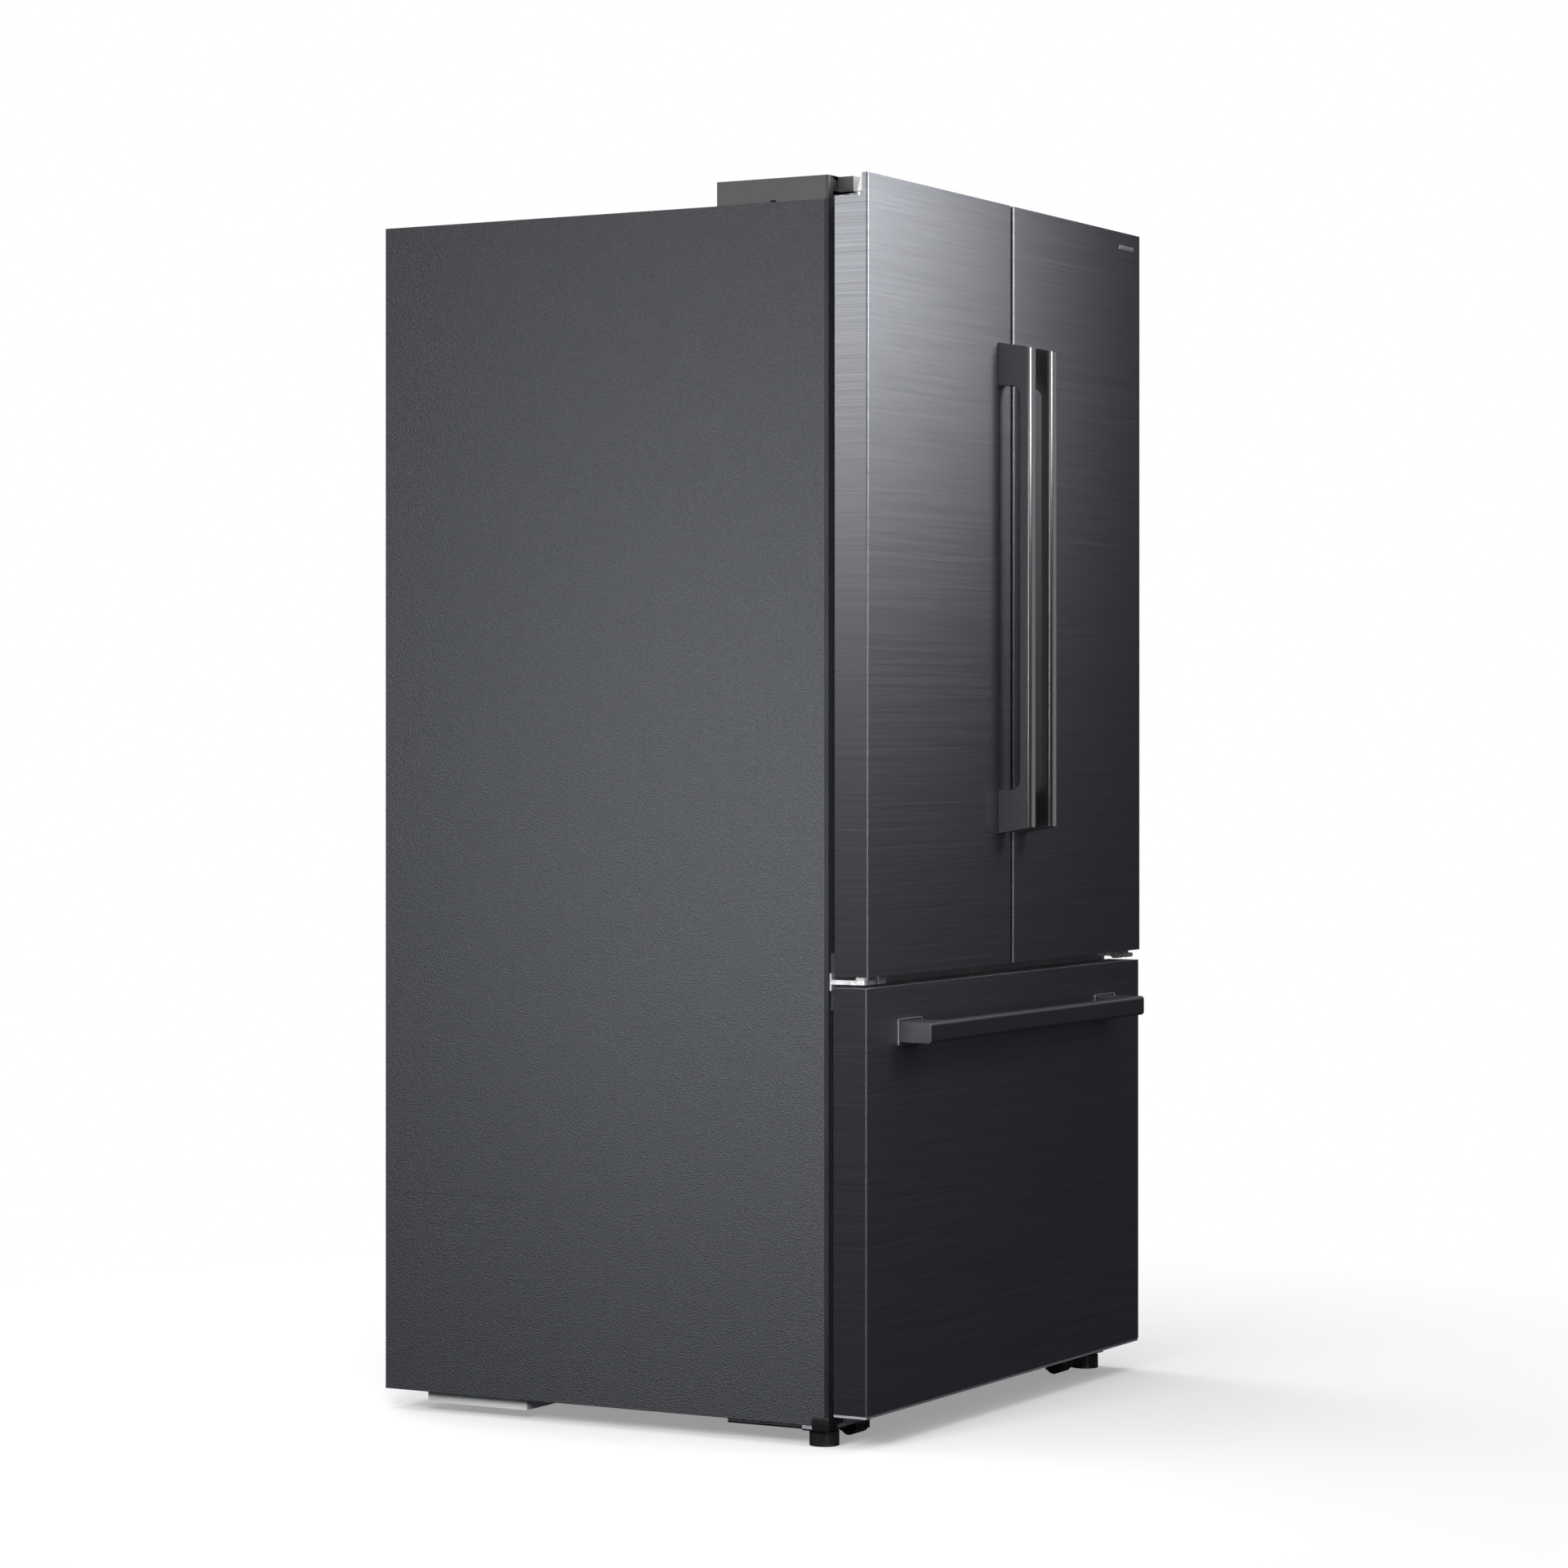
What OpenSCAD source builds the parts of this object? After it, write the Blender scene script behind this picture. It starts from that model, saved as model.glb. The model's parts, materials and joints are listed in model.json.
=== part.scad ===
// French door refrigerator: a steel cabinet with two upper doors over a
// freezer drawer, with its liners, shelves, drawers and cooling parts.
// Depths are counted from the plane of the upper doors' fronts, and
// at_origin() moves them to the model's origin under the middle of the box.

/* [Cabinet] */
// Width of the cabinet and of the pair of doors
cabinet_w = 908; // [820:1:1000]
// Height of the cabinet's top panel above the floor
cabinet_h = 1737; // [1600:1:1900]
// Depth of the cabinet without the doors
cabinet_d = 742; // [690:1:820]
// Height of the cabinet's underside above the floor
base_gap = 30; // [28:1:36]
// Thickness of the outer steel sheet
sheet_t = 1; // [0.8:0.1:1.2]
// Insulated wall at each side, with its sheet and liner
side_wall = 46; // [42:1:60]
// Insulated wall above the fresh food compartment
top_wall = 52; // [46:1:70]
// Insulated wall at the back
back_wall = 62; // [50:1:70]
// Wall of the moulded liners
liner_t = 2; // [1.5:0.5:3]

/* [Doors] */
// Thickness of the doors and of the drawer front
door_t = 52; // [48:1:58]
// Air gap that the gaskets fill behind the doors
seal_gap = 10; // [8:1:12]
// Rise of the upper doors' tops above the cabinet's top
door_rise = 34; // [30:1:42]
// Bottom of the upper doors above the floor
door_bottom = 656; // [600:1:700]
// Gap between the two upper doors
centre_gap = 8; // [5:1:12]
// Gap between the upper doors and the freezer drawer
drawer_gap = 16; // [15:1:20]
// Bottom of the freezer drawer's front above the floor
freezer_bottom = 44; // [40:1:60]
// Set-back of the freezer drawer's front behind the doors
freezer_setback = 2; // [0:0.5:4]
// Steel thickness of the door skins
skin_t = 0.8; // [0.6:0.1:1]
// Rounding of the door skins' front edges
skin_r = 3; // [2:0.5:5]
// Height of the plastic end caps inside a door's ends
cap_h = 40; // [34:1:60]
// Length of the notch for the hinge in a door's top, across the door
notch_l = 95; // [85:1:110]
// Depth of that notch below the door's top
notch_drop = 31; // [28:1:33]
// Lip left in front of the notch
notch_lip = 9; // [7:1:9]

/* [Hinges] */
// Distance of the hinge pins from the cabinet's side
pin_side = 22; // [20:1:24]
// Distance of the hinge pins behind the doors' fronts
pin_back = 20; // [19:1:22]
// Radius of the hinge pins
pin_r = 5; // [4:0.5:6]
// Running clearance round each pin
pin_clear = 0.05; // [0.02:0.01:0.09]
// Thickness of the hinge plates
hinge_t = 4; // [3:0.5:5]

/* [Handles] */
// Height of the handles' lower ends above the doors' bottoms
handle_rise = 191; // [140:1:240]
// Length of the door handles
handle_l = 720; // [560:1:820]
// Width of a handle's bar
handle_w = 25; // [20:1:32]
// Projection of the handles in front of the doors
handle_out = 52; // [44:1:60]
// Thickness of a handle's bar, front to back
bar_t = 16; // [12:1:20]
// Length of a door handle's post at its root
post_l = 64; // [45:1:80]
// Distance of the handles from the doors' meeting edges
handle_inset = 19; // [14:1:40]
// Length of the freezer handle
freezer_handle_l = 714; // [560:1:800]
// Distance of the freezer handle's middle below its front's top
freezer_handle_drop = 65; // [40:1:100]
// Height of the freezer handle's bar
freezer_handle_h = 29; // [24:1:34]

/* [Inside] */
// Height of the fresh food compartment's floor above the doors' bottoms
floor_rise = 34; // [30:1:60]
// Distance of the freezer's ceiling below the top of its front
ceiling_drop = 34; // [30:1:60]
// Height of the freezer compartment's floor
freezer_floor = 86; // [84:1:110]
// Height of the step over the machine space
step_z = 360; // [330:1:400]
// Depth of the machine space behind the freezer's lower part
machine_d = 204; // [190:1:240]
// Insulated wall between the freezer and the machine space
step_wall = 38; // [32:1:60]
// Heights of the fresh food shelves above their compartment's floor
shelf_rise = [455, 700]; // [300:1:900]
// Distance of the shelves' fronts behind the cabinet's front
shelf_back = 128; // [126:1:160]
// Thickness of the shelf glass
glass_t = 4; // [3:0.5:6]
// Height of the crisper drawers
crisper_h = 190; // [150:1:220]
// Heights of the door bins above the doors' bottoms
bin_rise = [75, 400, 700]; // [60:1:900]
// Height of a door bin
bin_h = 95; // [70:1:120]
// Wall of the moulded bins and drawers
bin_t = 2.5; // [2:0.5:4]

/* [Base] */
// Radius of the levelling feet
foot_r = 21; // [16:1:24]
// Height of a levelling foot's knob
foot_h = 20; // [14:1:21]
// Radius of a foot's threaded stem
stem_r = 4; // [3:0.5:5]
// Radius of the rollers
roller_r = 13; // [11:0.5:13]
// Width of a roller
roller_w = 38; // [24:1:44]
// Radius of the rollers' axles
axle_r = 3; // [2:0.5:4]

/* [Hidden] */
$fn = 48;

// Planes and places that everything shares
half_w = cabinet_w / 2;
cab_front = door_t + seal_gap;
cab_back = cab_front + cabinet_d;
total_d = handle_out + cab_back;
liner_x = half_w - side_wall;
fridge_ceiling = cabinet_h - top_wall;
inner_back = cab_back - back_wall;
machine_y = cab_back - machine_d;
machine_top = step_z - 30;
step_back = machine_y - step_wall;
pin_x = -half_w + pin_side;
door_inner = -centre_gap / 2;
door_top = cabinet_h + door_rise;
freezer_top = door_bottom - drawer_gap;
fridge_floor = door_bottom + floor_rise;
freezer_ceiling = freezer_top - ceiling_drop;
freezer_front = freezer_setback;
freezer_back = freezer_front + door_t;
notch_z = door_top - notch_drop;
overlap = 1;
slack = 0.5;
steel = "#3b3e42";
door_grey = "#4d4f52";
cap_grey = "#c9ccd0";
plastic_white = "#eef0f2";
zinc = "#b9bdc1";
clear_blue = "#cfe0ea";

// Seals: how far in from a door's edge, and how wide
seal_in = 24;
seal_w = 18;
// How far a seal reaches beyond the opening that it closes
seal_over = 24;

// The ridge of a door's liner that carries the bins
ridge_in = side_wall + 4;
ridge_w = 24;
ridge_d = 38;
ridge_end = 10;
ridge_gap = 0.05;
liner_plate = 2.5;

// Plates under the cabinet
plate_t = 2;
plate_z = base_gap + sheet_t;

// Feet and rollers
foot_in = 27;
foot_x = half_w - foot_in;
foot_y = cab_front + foot_r;
block_w = 26;
block_l = 26;
block_h = 15;
block_low = base_gap - 5;
front_roller_x = half_w - 119;
front_roller_y = cab_front + 22;
rear_roller_x = half_w - 164;
rear_roller_y = cab_back - 60;
front_lift = 3;
cheek_t = 3;
cheek_l = 24;

module at_origin() {
    translate([0, handle_out - total_d / 2, 0]) children();
}

module both_sides() {
    children();
    mirror([1, 0, 0]) children();
}

// A box from its low corner to its high corner
module box(low, high) {
    translate(low) cube(high - low);
}

// A frame lying in the X-Z plane: outer corners, width of its legs, depth
module ring(low, high, leg) {
    difference() {
        box(low, high);
        box(
            [low[0] + leg, low[1] - overlap, low[2] + leg],
            [high[0] - leg, high[1] + overlap, high[2] - leg]
        );
    }
}

// A tray open at the top
module tray(low, high, wall) {
    difference() {
        box(low, high);
        box(
            [low[0] + wall, low[1] + wall, low[2] + wall],
            [high[0] - wall, high[1] - wall, high[2] + overlap]
        );
    }
}

module rod_x(centre, length, radius) {
    translate([centre[0] - length / 2, centre[1], centre[2]])
        rotate([0, 90, 0])
            cylinder(h = length, r = radius);
}

module rod_y(centre, length, radius) {
    translate([centre[0], centre[1] + length, centre[2]])
        rotate([90, 0, 0])
            cylinder(h = length, r = radius);
}

// ---------------------------------------------------------------- cabinet

// A shallow pressed bead in the side sheet
module bead(y, z, length, height) {
    bead_r = 7;
    bead_d = 0.5;
    translate([-half_w - overlap, y + bead_r, z + bead_r])
        rotate([90, 0, 90])
            linear_extrude(overlap + bead_d) {
                square([length - 2 * bead_r, height - 2 * bead_r]);
                translate([-bead_r, 0]) square([length, height - 2 * bead_r]);
                translate([0, -bead_r]) square([length - 2 * bead_r, height]);
                for (px = [0, length - 2 * bead_r], pz = [0, height - 2 * bead_r])
                    translate([px, pz]) circle(r = bead_r);
            }
}

module side_panel() {
    low_bead_z = 263;
    small_bead_z = 74;
    bead_pitch = 53.5;
    difference() {
        union() {
            box(
                [-half_w, cab_front, base_gap],
                [-half_w + sheet_t, cab_back, cabinet_h]
            );
            box(
                [-half_w, cab_front, base_gap],
                [-liner_x - liner_t, cab_front + sheet_t, cabinet_h - sheet_t]
            );
        }
        foot_block(slack);
        bead(cab_back - 248, low_bead_z, 214, 58);
        for (row = [0:2])
            bead(cab_back - 254, small_bead_z + bead_pitch * row, 46, 21);
        divider_cut();
    }
}

module side_panel_left() {
    color(steel) at_origin() side_panel();
}

module side_panel_right() {
    color(steel) at_origin() mirror([1, 0, 0]) side_panel();
}

// Where the galvanised divider rail lies between the front flanges
rail_end = 8;

module divider_cut() {
    box(
        [-half_w + rail_end, cab_front - overlap, freezer_ceiling + liner_t],
        [half_w - rail_end, cab_front + sheet_t + overlap, fridge_floor - liner_t]
    );
}

module screw_places() {
    for (y = [cab_front + 24, cab_front + 64], x = [pin_x - 6, pin_x + 26])
        translate([x, y, 0]) children();
}

screw_r = 3;
screw_clear = 0.2;
screw_l = 16;

module screw_bores() {
    both_sides()
        screw_places()
            translate([0, 0, cabinet_h - screw_l - overlap])
                cylinder(h = screw_l + hinge_t + 2 * overlap, r = screw_r + screw_clear);
}

// The top sheet is folded down over the back panel's upper edge
back_flange = 14;

module top_panel() {
    color(steel) at_origin()
        difference() {
            union() {
                box(
                    [-half_w + sheet_t, cab_front, cabinet_h - sheet_t],
                    [half_w - sheet_t, cab_back, cabinet_h]
                );
                box(
                    [-liner_x - liner_t, cab_front, fridge_ceiling + liner_t],
                    [liner_x + liner_t, cab_front + sheet_t, cabinet_h]
                );
                box(
                    [-half_w + sheet_t, cab_back - sheet_t, cabinet_h - back_flange],
                    [half_w - sheet_t, cab_back, cabinet_h]
                );
            }
            screw_bores();
        }
}

module back_panel() {
    color(zinc) at_origin()
        difference() {
            box(
                [-half_w + sheet_t, cab_back - sheet_t, machine_top],
                [half_w - sheet_t, cab_back, cabinet_h - back_flange]
            );
            for (row = [0:2])
                bead_back(cabinet_h - 500 - 340 * row);
        }
}

// A long stiffening bead across the back panel
module bead_back(z) {
    bead_in = 136;
    bead_w = 26;
    bead_d = 0.4;
    box(
        [-half_w + bead_in, cab_back - bead_d, z],
        [half_w - bead_in, cab_back + overlap, z + bead_w]
    );
}

module cabinet_insulation() {
    color("#e8dfc0") at_origin()
        difference() {
            box(
                [-half_w + sheet_t, cab_front + sheet_t, base_gap + sheet_t],
                [half_w - sheet_t, cab_back - sheet_t, cabinet_h - sheet_t]
            );
            box(
                [-liner_x - liner_t, cab_front, fridge_floor - liner_t],
                [liner_x + liner_t, inner_back + liner_t, fridge_ceiling + liner_t]
            );
            freezer_space(liner_t);
            box(
                [-half_w, machine_y, base_gap],
                [half_w, cab_back, machine_top]
            );
            foot_block(slack);
            mirror([1, 0, 0]) foot_block(slack);
            screw_bores();
        }
}

// The freezer's hollow, grown by a wall; its floor steps up at the back
module freezer_space(wall) {
    box(
        [-liner_x - wall, cab_front, freezer_floor - wall],
        [liner_x + wall, step_back + wall, freezer_ceiling + wall]
    );
    box(
        [-liner_x - wall, cab_front, step_z - wall],
        [liner_x + wall, inner_back + wall, freezer_ceiling + wall]
    );
}

module fridge_liner() {
    ledge_w = 14;
    ledge_h = 6;
    color(plastic_white) at_origin() {
        difference() {
            box(
                [-liner_x - liner_t, cab_front, fridge_floor - liner_t],
                [liner_x + liner_t, inner_back + liner_t, fridge_ceiling + liner_t]
            );
            box(
                [-liner_x, cab_front - overlap, fridge_floor],
                [liner_x, inner_back, fridge_ceiling]
            );
        }
        both_sides()
            for (z = shelf_levels)
                box(
                    [-liner_x - liner_t / 2, shelf_front, z - ledge_h],
                    [-liner_x + ledge_w, shelf_y2, z]
                );
    }
}

module freezer_liner() {
    color(plastic_white) at_origin()
        difference() {
            freezer_space(liner_t);
            translate([0, -overlap, 0]) freezer_space(0);
            box(
                [-liner_x, step_back - 2 * overlap, step_z],
                [liner_x, inner_back, freezer_ceiling]
            );
        }
}

module divider_rail() {
    color(zinc) at_origin()
        box(
            [-half_w + rail_end, cab_front, freezer_ceiling + liner_t],
            [half_w - rail_end, cab_front + sheet_t, fridge_floor - liner_t]
        );
}

// The black block at the cabinet's lower front corner, grown by a gap
module foot_block(gap) {
    box(
        [-half_w - gap, cab_front - gap, block_low - gap],
        [-half_w + block_w + gap, cab_front + block_l + gap, block_low + block_h + gap]
    );
}

// Two cheeks and the axle that hold one roller
module roller_bracket(x, y, z, top) {
    out = roller_w / 2 + slack;
    for (side = [-1, 1])
        box(
            [x + side * (out + cheek_t / 2) - cheek_t / 2, y - cheek_l / 2, z - 7],
            [x + side * (out + cheek_t / 2) + cheek_t / 2, y + cheek_l / 2, top]
        );
    rod_x([x, y, z], roller_w + 2 * slack + 2 * cheek_t, axle_r);
}

module base_frame() {
    rail_low = base_gap - 5.5;
    leg_plate_z = base_gap - 8;
    end_hole_in = 64;
    front_z = roller_r + front_lift;
    pan_edge = 6;
    corner_gap = 4;
    gusset_in = 12;
    gusset_l = 138;
    hole_r = 2.5;
    color("#83878c") at_origin()
        difference() {
            union() {
                box(
                    [-half_w + sheet_t, cab_front + sheet_t, base_gap],
                    [half_w - sheet_t, machine_y, plate_z]
                );
                box(
                    [-half_w + block_w + corner_gap, cab_front, rail_low],
                    [half_w - block_w - corner_gap, cab_front + sheet_t, base_gap]
                );
                box(
                    [-liner_x - liner_t, cab_front, base_gap],
                    [liner_x + liner_t, cab_front + sheet_t, freezer_floor - liner_t]
                );
                box(
                    [-half_w + sheet_t, machine_y, base_gap],
                    [half_w - sheet_t, cab_back - 2 * sheet_t, base_gap + plate_t]
                );
                both_sides() {
                    roller_bracket(front_roller_x, front_roller_y, front_z, base_gap + overlap / 2);
                    roller_bracket(rear_roller_x, rear_roller_y, roller_r, base_gap + overlap / 2);
                    foot_block(0);
                    box(
                        [-half_w + sheet_t, cab_front + sheet_t, leg_plate_z],
                        [-half_w + block_w + 34, cab_front + 2 * foot_r, base_gap + sheet_t / 2]
                    );
                    box(
                        [-half_w + gusset_in, cab_front + 30, leg_plate_z],
                        [-half_w + gusset_in + 6, cab_front + 30 + gusset_l, base_gap + sheet_t / 2]
                    );
                }
            }
            both_sides() {
                translate([-foot_x, foot_y, leg_plate_z - overlap])
                    cylinder(h = plate_z - leg_plate_z + 2 * overlap, r = stem_r + pin_clear);
                for (x = [60, 150, 260, half_w - end_hole_in])
                    rod_y([-x, cab_front - overlap, rail_low + 10], 2 * overlap + sheet_t, hole_r);
            }
            box(
                [pan_low[0] + pan_edge, pan_low[1] + pan_edge, base_gap - overlap],
                [pan_high[0] - pan_edge, pan_high[1] - pan_edge, base_gap + plate_t + overlap]
            );
        }
}

// ----------------------------------------------------------------- hinges

cover_w = 108;
cover_l = 179;
cover_r = 5;
cover_t = 2.5;

// Outline of a hinge cover on the cabinet's top, shrunk by a wall
module cover_outline(wall) {
    left = -half_w + wall;
    right = -half_w + cover_w - wall;
    front = cab_front + wall;
    rear = cab_front + cover_l - wall;
    radius = cover_r - wall;
    difference() {
        translate([left, front]) square([right - left, rear - front]);
        translate([left - overlap, front - overlap])
            square([radius + overlap, radius + overlap]);
    }
    translate([left + radius, front + radius]) circle(r = radius);
}

// Outline of the nose that reaches forward over the door's notch
module nose_outline(wall) {
    nose_front = pin_back + 18;
    translate([pin_x + 6 + wall, nose_front + wall])
        square([42 - 2 * wall, cab_front - nose_front + 2 * cover_t]);
}

module hinge_cover() {
    nose_low = notch_z + 9;
    nose_drop = 0.5;
    slit_z = cabinet_h + 1;
    slit_y = cab_front + 84;
    slit_l = 8;
    slit_h = 2;
    difference() {
        union() {
            translate([0, 0, cabinet_h])
                linear_extrude(door_rise) cover_outline(0);
            translate([0, 0, nose_low])
                linear_extrude(door_top - nose_low - nose_drop) nose_outline(0);
        }
        translate([0, 0, cabinet_h - overlap])
            linear_extrude(door_rise + overlap - cover_t) cover_outline(cover_t);
        translate([0, 0, nose_low - overlap])
            linear_extrude(door_top - nose_low - nose_drop + overlap - cover_t)
                nose_outline(cover_t);
        box(
            [pin_x - 8, cab_front - overlap, cabinet_h - overlap],
            [pin_x + 34, cab_front + cover_t + overlap, nose_low + overlap]
        );
        box(
            [-half_w - overlap, slit_y, slit_z],
            [-half_w + cover_t + overlap, slit_y + slit_l, slit_z + slit_h]
        );
    }
}

module hinge_cover_left() {
    color("#5b5e62") at_origin() hinge_cover();
}

module hinge_cover_right() {
    color("#5b5e62") at_origin() mirror([1, 0, 0]) hinge_cover();
}

top_pin_l = 24;
mid_pin_l = 20;
arm_w = 12;
arm_end = [15, cab_front - pin_back];

module top_hinge() {
    arm_z = notch_z + 1.5;
    plate = [pin_x - 14, pin_x + 36];
    difference() {
        union() {
            box(
                [plate[0], cab_front + 8, cabinet_h],
                [plate[1], cab_front + 88, cabinet_h + hinge_t]
            );
            translate([pin_x, pin_back, arm_z]) {
                cylinder(h = hinge_t, r = 9.5);
                rotate([0, 0, -atan(arm_end[0] / arm_end[1])])
                    translate([-arm_w / 2, 0, 0])
                        cube([arm_w, norm(arm_end) + 12, hinge_t]);
            }
            translate([pin_x + arm_end[0] - 14, cab_front + 2, cabinet_h])
                cube([30, 14, arm_z + hinge_t - cabinet_h]);
            translate([pin_x, pin_back, notch_z - top_pin_l])
                cylinder(h = top_pin_l + hinge_t + 1, r = pin_r);
        }
        screw_bores();
    }
}

module top_hinges() {
    color(zinc) at_origin() both_sides() top_hinge();
}

mid_plate_t = 2.5;
mid_arm_low = freezer_top + 5;
mid_arm_t = 6;

module mid_hinge() {
    arm_front = pin_back - 12;
    arm_right = pin_x + 14;
    arm_left = -half_w + 4;
    leg_w = 10;
    plate_over = 4;
    corner_r = 8;
    box(
        [arm_left, cab_front - mid_plate_t, freezer_top - plate_over],
        [arm_left + leg_w, cab_front, door_bottom + plate_over]
    );
    box(
        [arm_left, pin_back, mid_arm_low],
        [arm_left + leg_w, cab_front, mid_arm_low + mid_arm_t]
    );
    difference() {
        box(
            [arm_left, arm_front, mid_arm_low],
            [arm_right, pin_back + 14, mid_arm_low + mid_arm_t]
        );
        translate([arm_left, arm_front, mid_arm_low - overlap])
            difference() {
                translate([-overlap, -overlap, 0])
                    cube([corner_r + overlap, corner_r + overlap, mid_arm_t + 2 * overlap]);
                translate([corner_r, corner_r, -overlap])
                    cylinder(h = mid_arm_t + 4 * overlap, r = corner_r);
            }
    }
    translate([pin_x, pin_back, mid_arm_low])
        cylinder(h = door_bottom + mid_pin_l - mid_arm_low, r = pin_r);
}

module mid_hinges() {
    color("#d4d6d8") at_origin() both_sides() mid_hinge();
}

module hinge_screws() {
    head_r = 5.5;
    head_h = 3.5;
    hex_r = 2.9;
    color("#8d9196") at_origin()
        both_sides()
            screw_places()
                difference() {
                    union() {
                        translate([0, 0, cabinet_h - screw_l])
                            cylinder(h = screw_l + hinge_t + overlap, r = screw_r);
                        translate([0, 0, cabinet_h + hinge_t])
                            cylinder(h = head_h, r = head_r);
                    }
                    translate([0, 0, cabinet_h + hinge_t + head_h - 2])
                        cylinder(h = 3, r = hex_r, $fn = 6);
                }
}

// ------------------------------------------------------- fresh food inside

shelf_front = cab_front + shelf_back;
shelf_x = liner_x - 9;
shelf_y2 = inner_back - 44;
centre_x = 5;
frame_leg = 14;
frame_h = 16;
rebate = 6;
glass_sink = 1;
cover_z = fridge_floor + crisper_h + 16;
shelf_levels = concat([cover_z], [for (rise = shelf_rise) fridge_floor + rise]);

// One shelf frame over the left half, with its rebate for the glass
module shelf_frame(z) {
    difference() {
        box([-shelf_x, shelf_front, z], [-centre_x, shelf_y2, z + frame_h]);
        box(
            [-shelf_x + frame_leg, shelf_front + frame_leg, z - overlap],
            [-centre_x - frame_leg, shelf_y2 - frame_leg, z + frame_h + overlap]
        );
        box(
            [
                -shelf_x + frame_leg - rebate,
                shelf_front + frame_leg - rebate,
                z + frame_h - glass_t - glass_sink
            ],
            [
                -centre_x - frame_leg + rebate,
                shelf_y2 - frame_leg + rebate,
                z + frame_h + overlap
            ]
        );
    }
}

module shelf_frames() {
    color(plastic_white) at_origin()
        both_sides()
            for (z = shelf_levels)
                shelf_frame(z);
}

module shelf_glass() {
    color(clear_blue) at_origin()
        both_sides()
            for (z = shelf_levels)
                box(
                    [
                        -shelf_x + frame_leg - rebate + slack,
                        shelf_front + frame_leg - rebate + slack,
                        z + frame_h - glass_t - glass_sink
                    ],
                    [
                        -centre_x - frame_leg + rebate - slack,
                        shelf_y2 - frame_leg + rebate - slack,
                        z + frame_h - glass_sink
                    ]
                );
}

module air_duct() {
    duct_w = 120;
    duct_d = 40;
    duct_wall = 4;
    vent_z = 240;
    vent_pitch = 68;
    vent_h = 8;
    low = [-duct_w / 2, inner_back - duct_d, fridge_floor + 30];
    high = [duct_w / 2, inner_back, fridge_ceiling - 45];
    color(plastic_white) at_origin()
        difference() {
            box(low, high);
            box(low + duct_wall * [1, 1, 1], high - duct_wall * [1, 1, 1]);
            for (row = [0:8])
                box(
                    [low[0] + 20, low[1] - overlap, low[2] + vent_z + vent_pitch * row],
                    [
                        high[0] - 20,
                        low[1] + duct_wall + overlap,
                        low[2] + vent_z + vent_h + vent_pitch * row
                    ]
                );
        }
}

module control_panel() {
    panel_w = 260;
    button_pitch = 22;
    low = [-panel_w / 2, cab_front + 90, fridge_ceiling - 26];
    high = [panel_w / 2, cab_front + 210, fridge_ceiling];
    color("#dfe3e6") at_origin()
        difference() {
            box(low, high);
            for (column = [-2:2])
                translate([button_pitch * column, low[1] + overlap, low[2] + 13])
                    rotate([90, 0, 0])
                        cylinder(h = 3, r = 5);
            box(
                [low[0] + 14, low[1] + 30, low[2] - overlap],
                [high[0] - 14, high[1] - 14, low[2] + 4]
            );
        }
}

crisper_y2 = shelf_y2 - 20;

module crisper() {
    low = [-liner_x + 20, shelf_front, fridge_floor + overlap];
    high = [-centre_x - 5, crisper_y2, fridge_floor + crisper_h];
    front_t = 14;
    grip_l = 120;
    grip_d = 9;
    middle = (low[0] + high[0]) / 2;
    difference() {
        union() {
            tray(low, high, bin_t);
            box(low, [high[0], low[1] + front_t, high[2]]);
        }
        box(
            [middle - grip_l / 2, low[1] - overlap, high[2] - 30],
            [middle + grip_l / 2, low[1] + grip_d, high[2] - 12]
        );
    }
}

module crisper_left() {
    color(clear_blue) at_origin() crisper();
}

module crisper_right() {
    color(clear_blue) at_origin() mirror([1, 0, 0]) crisper();
}

// ----------------------------------------------------------- freezer inside

air_wall_y = inner_back - 52;
fan_r = 44;
fan_z = freezer_ceiling - 72;
fan_shaft_r = 2;

module evaporator_cover() {
    wall = 3;
    vent_pitch = 20;
    vent_h = 8;
    color(plastic_white) at_origin()
        difference() {
            box(
                [-liner_x, air_wall_y, step_z],
                [liner_x, air_wall_y + wall, freezer_ceiling]
            );
            rod_y([0, air_wall_y - overlap, fan_z], wall + 2 * overlap, fan_r + 3);
            both_sides()
                for (row = [0:3])
                    box(
                        [
                            -liner_x + 60,
                            air_wall_y - overlap,
                            step_z + 24 + vent_pitch * row
                        ],
                        [
                            -110,
                            air_wall_y + wall + overlap,
                            step_z + 24 + vent_h + vent_pitch * row
                        ]
                    );
        }
}

module evaporator() {
    coil_x = 300;
    coil_y = [inner_back - 42, inner_back - 6];
    coil_z = [step_z + 14, step_z + 116];
    motor_y = air_wall_y + 24;
    fins = 30;
    fin_t = 1;
    tube_pitch = 24;
    color("#b4b8bc") at_origin() {
        for (fin = [0:fins])
            box(
                [-coil_x + fin * 2 * coil_x / fins - fin_t / 2, coil_y[0], coil_z[0]],
                [-coil_x + fin * 2 * coil_x / fins + fin_t / 2, coil_y[1], coil_z[1]]
            );
        for (row = [0:3], y = coil_y + [9, -9])
            rod_x([0, y, coil_z[0] + 15 + tube_pitch * row], 2 * coil_x + 20, 4);
        for (side = [-1, 1])
            box(
                [side * (coil_x + 8) - 2, coil_y[0], step_z],
                [side * (coil_x + 8) + 2, inner_back, coil_z[1]]
            );
        rod_y([0, motor_y, fan_z], inner_back - motor_y, 20);
        rod_y([0, motor_y - 14, fan_z], 15, fan_shaft_r);
    }
}

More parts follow.
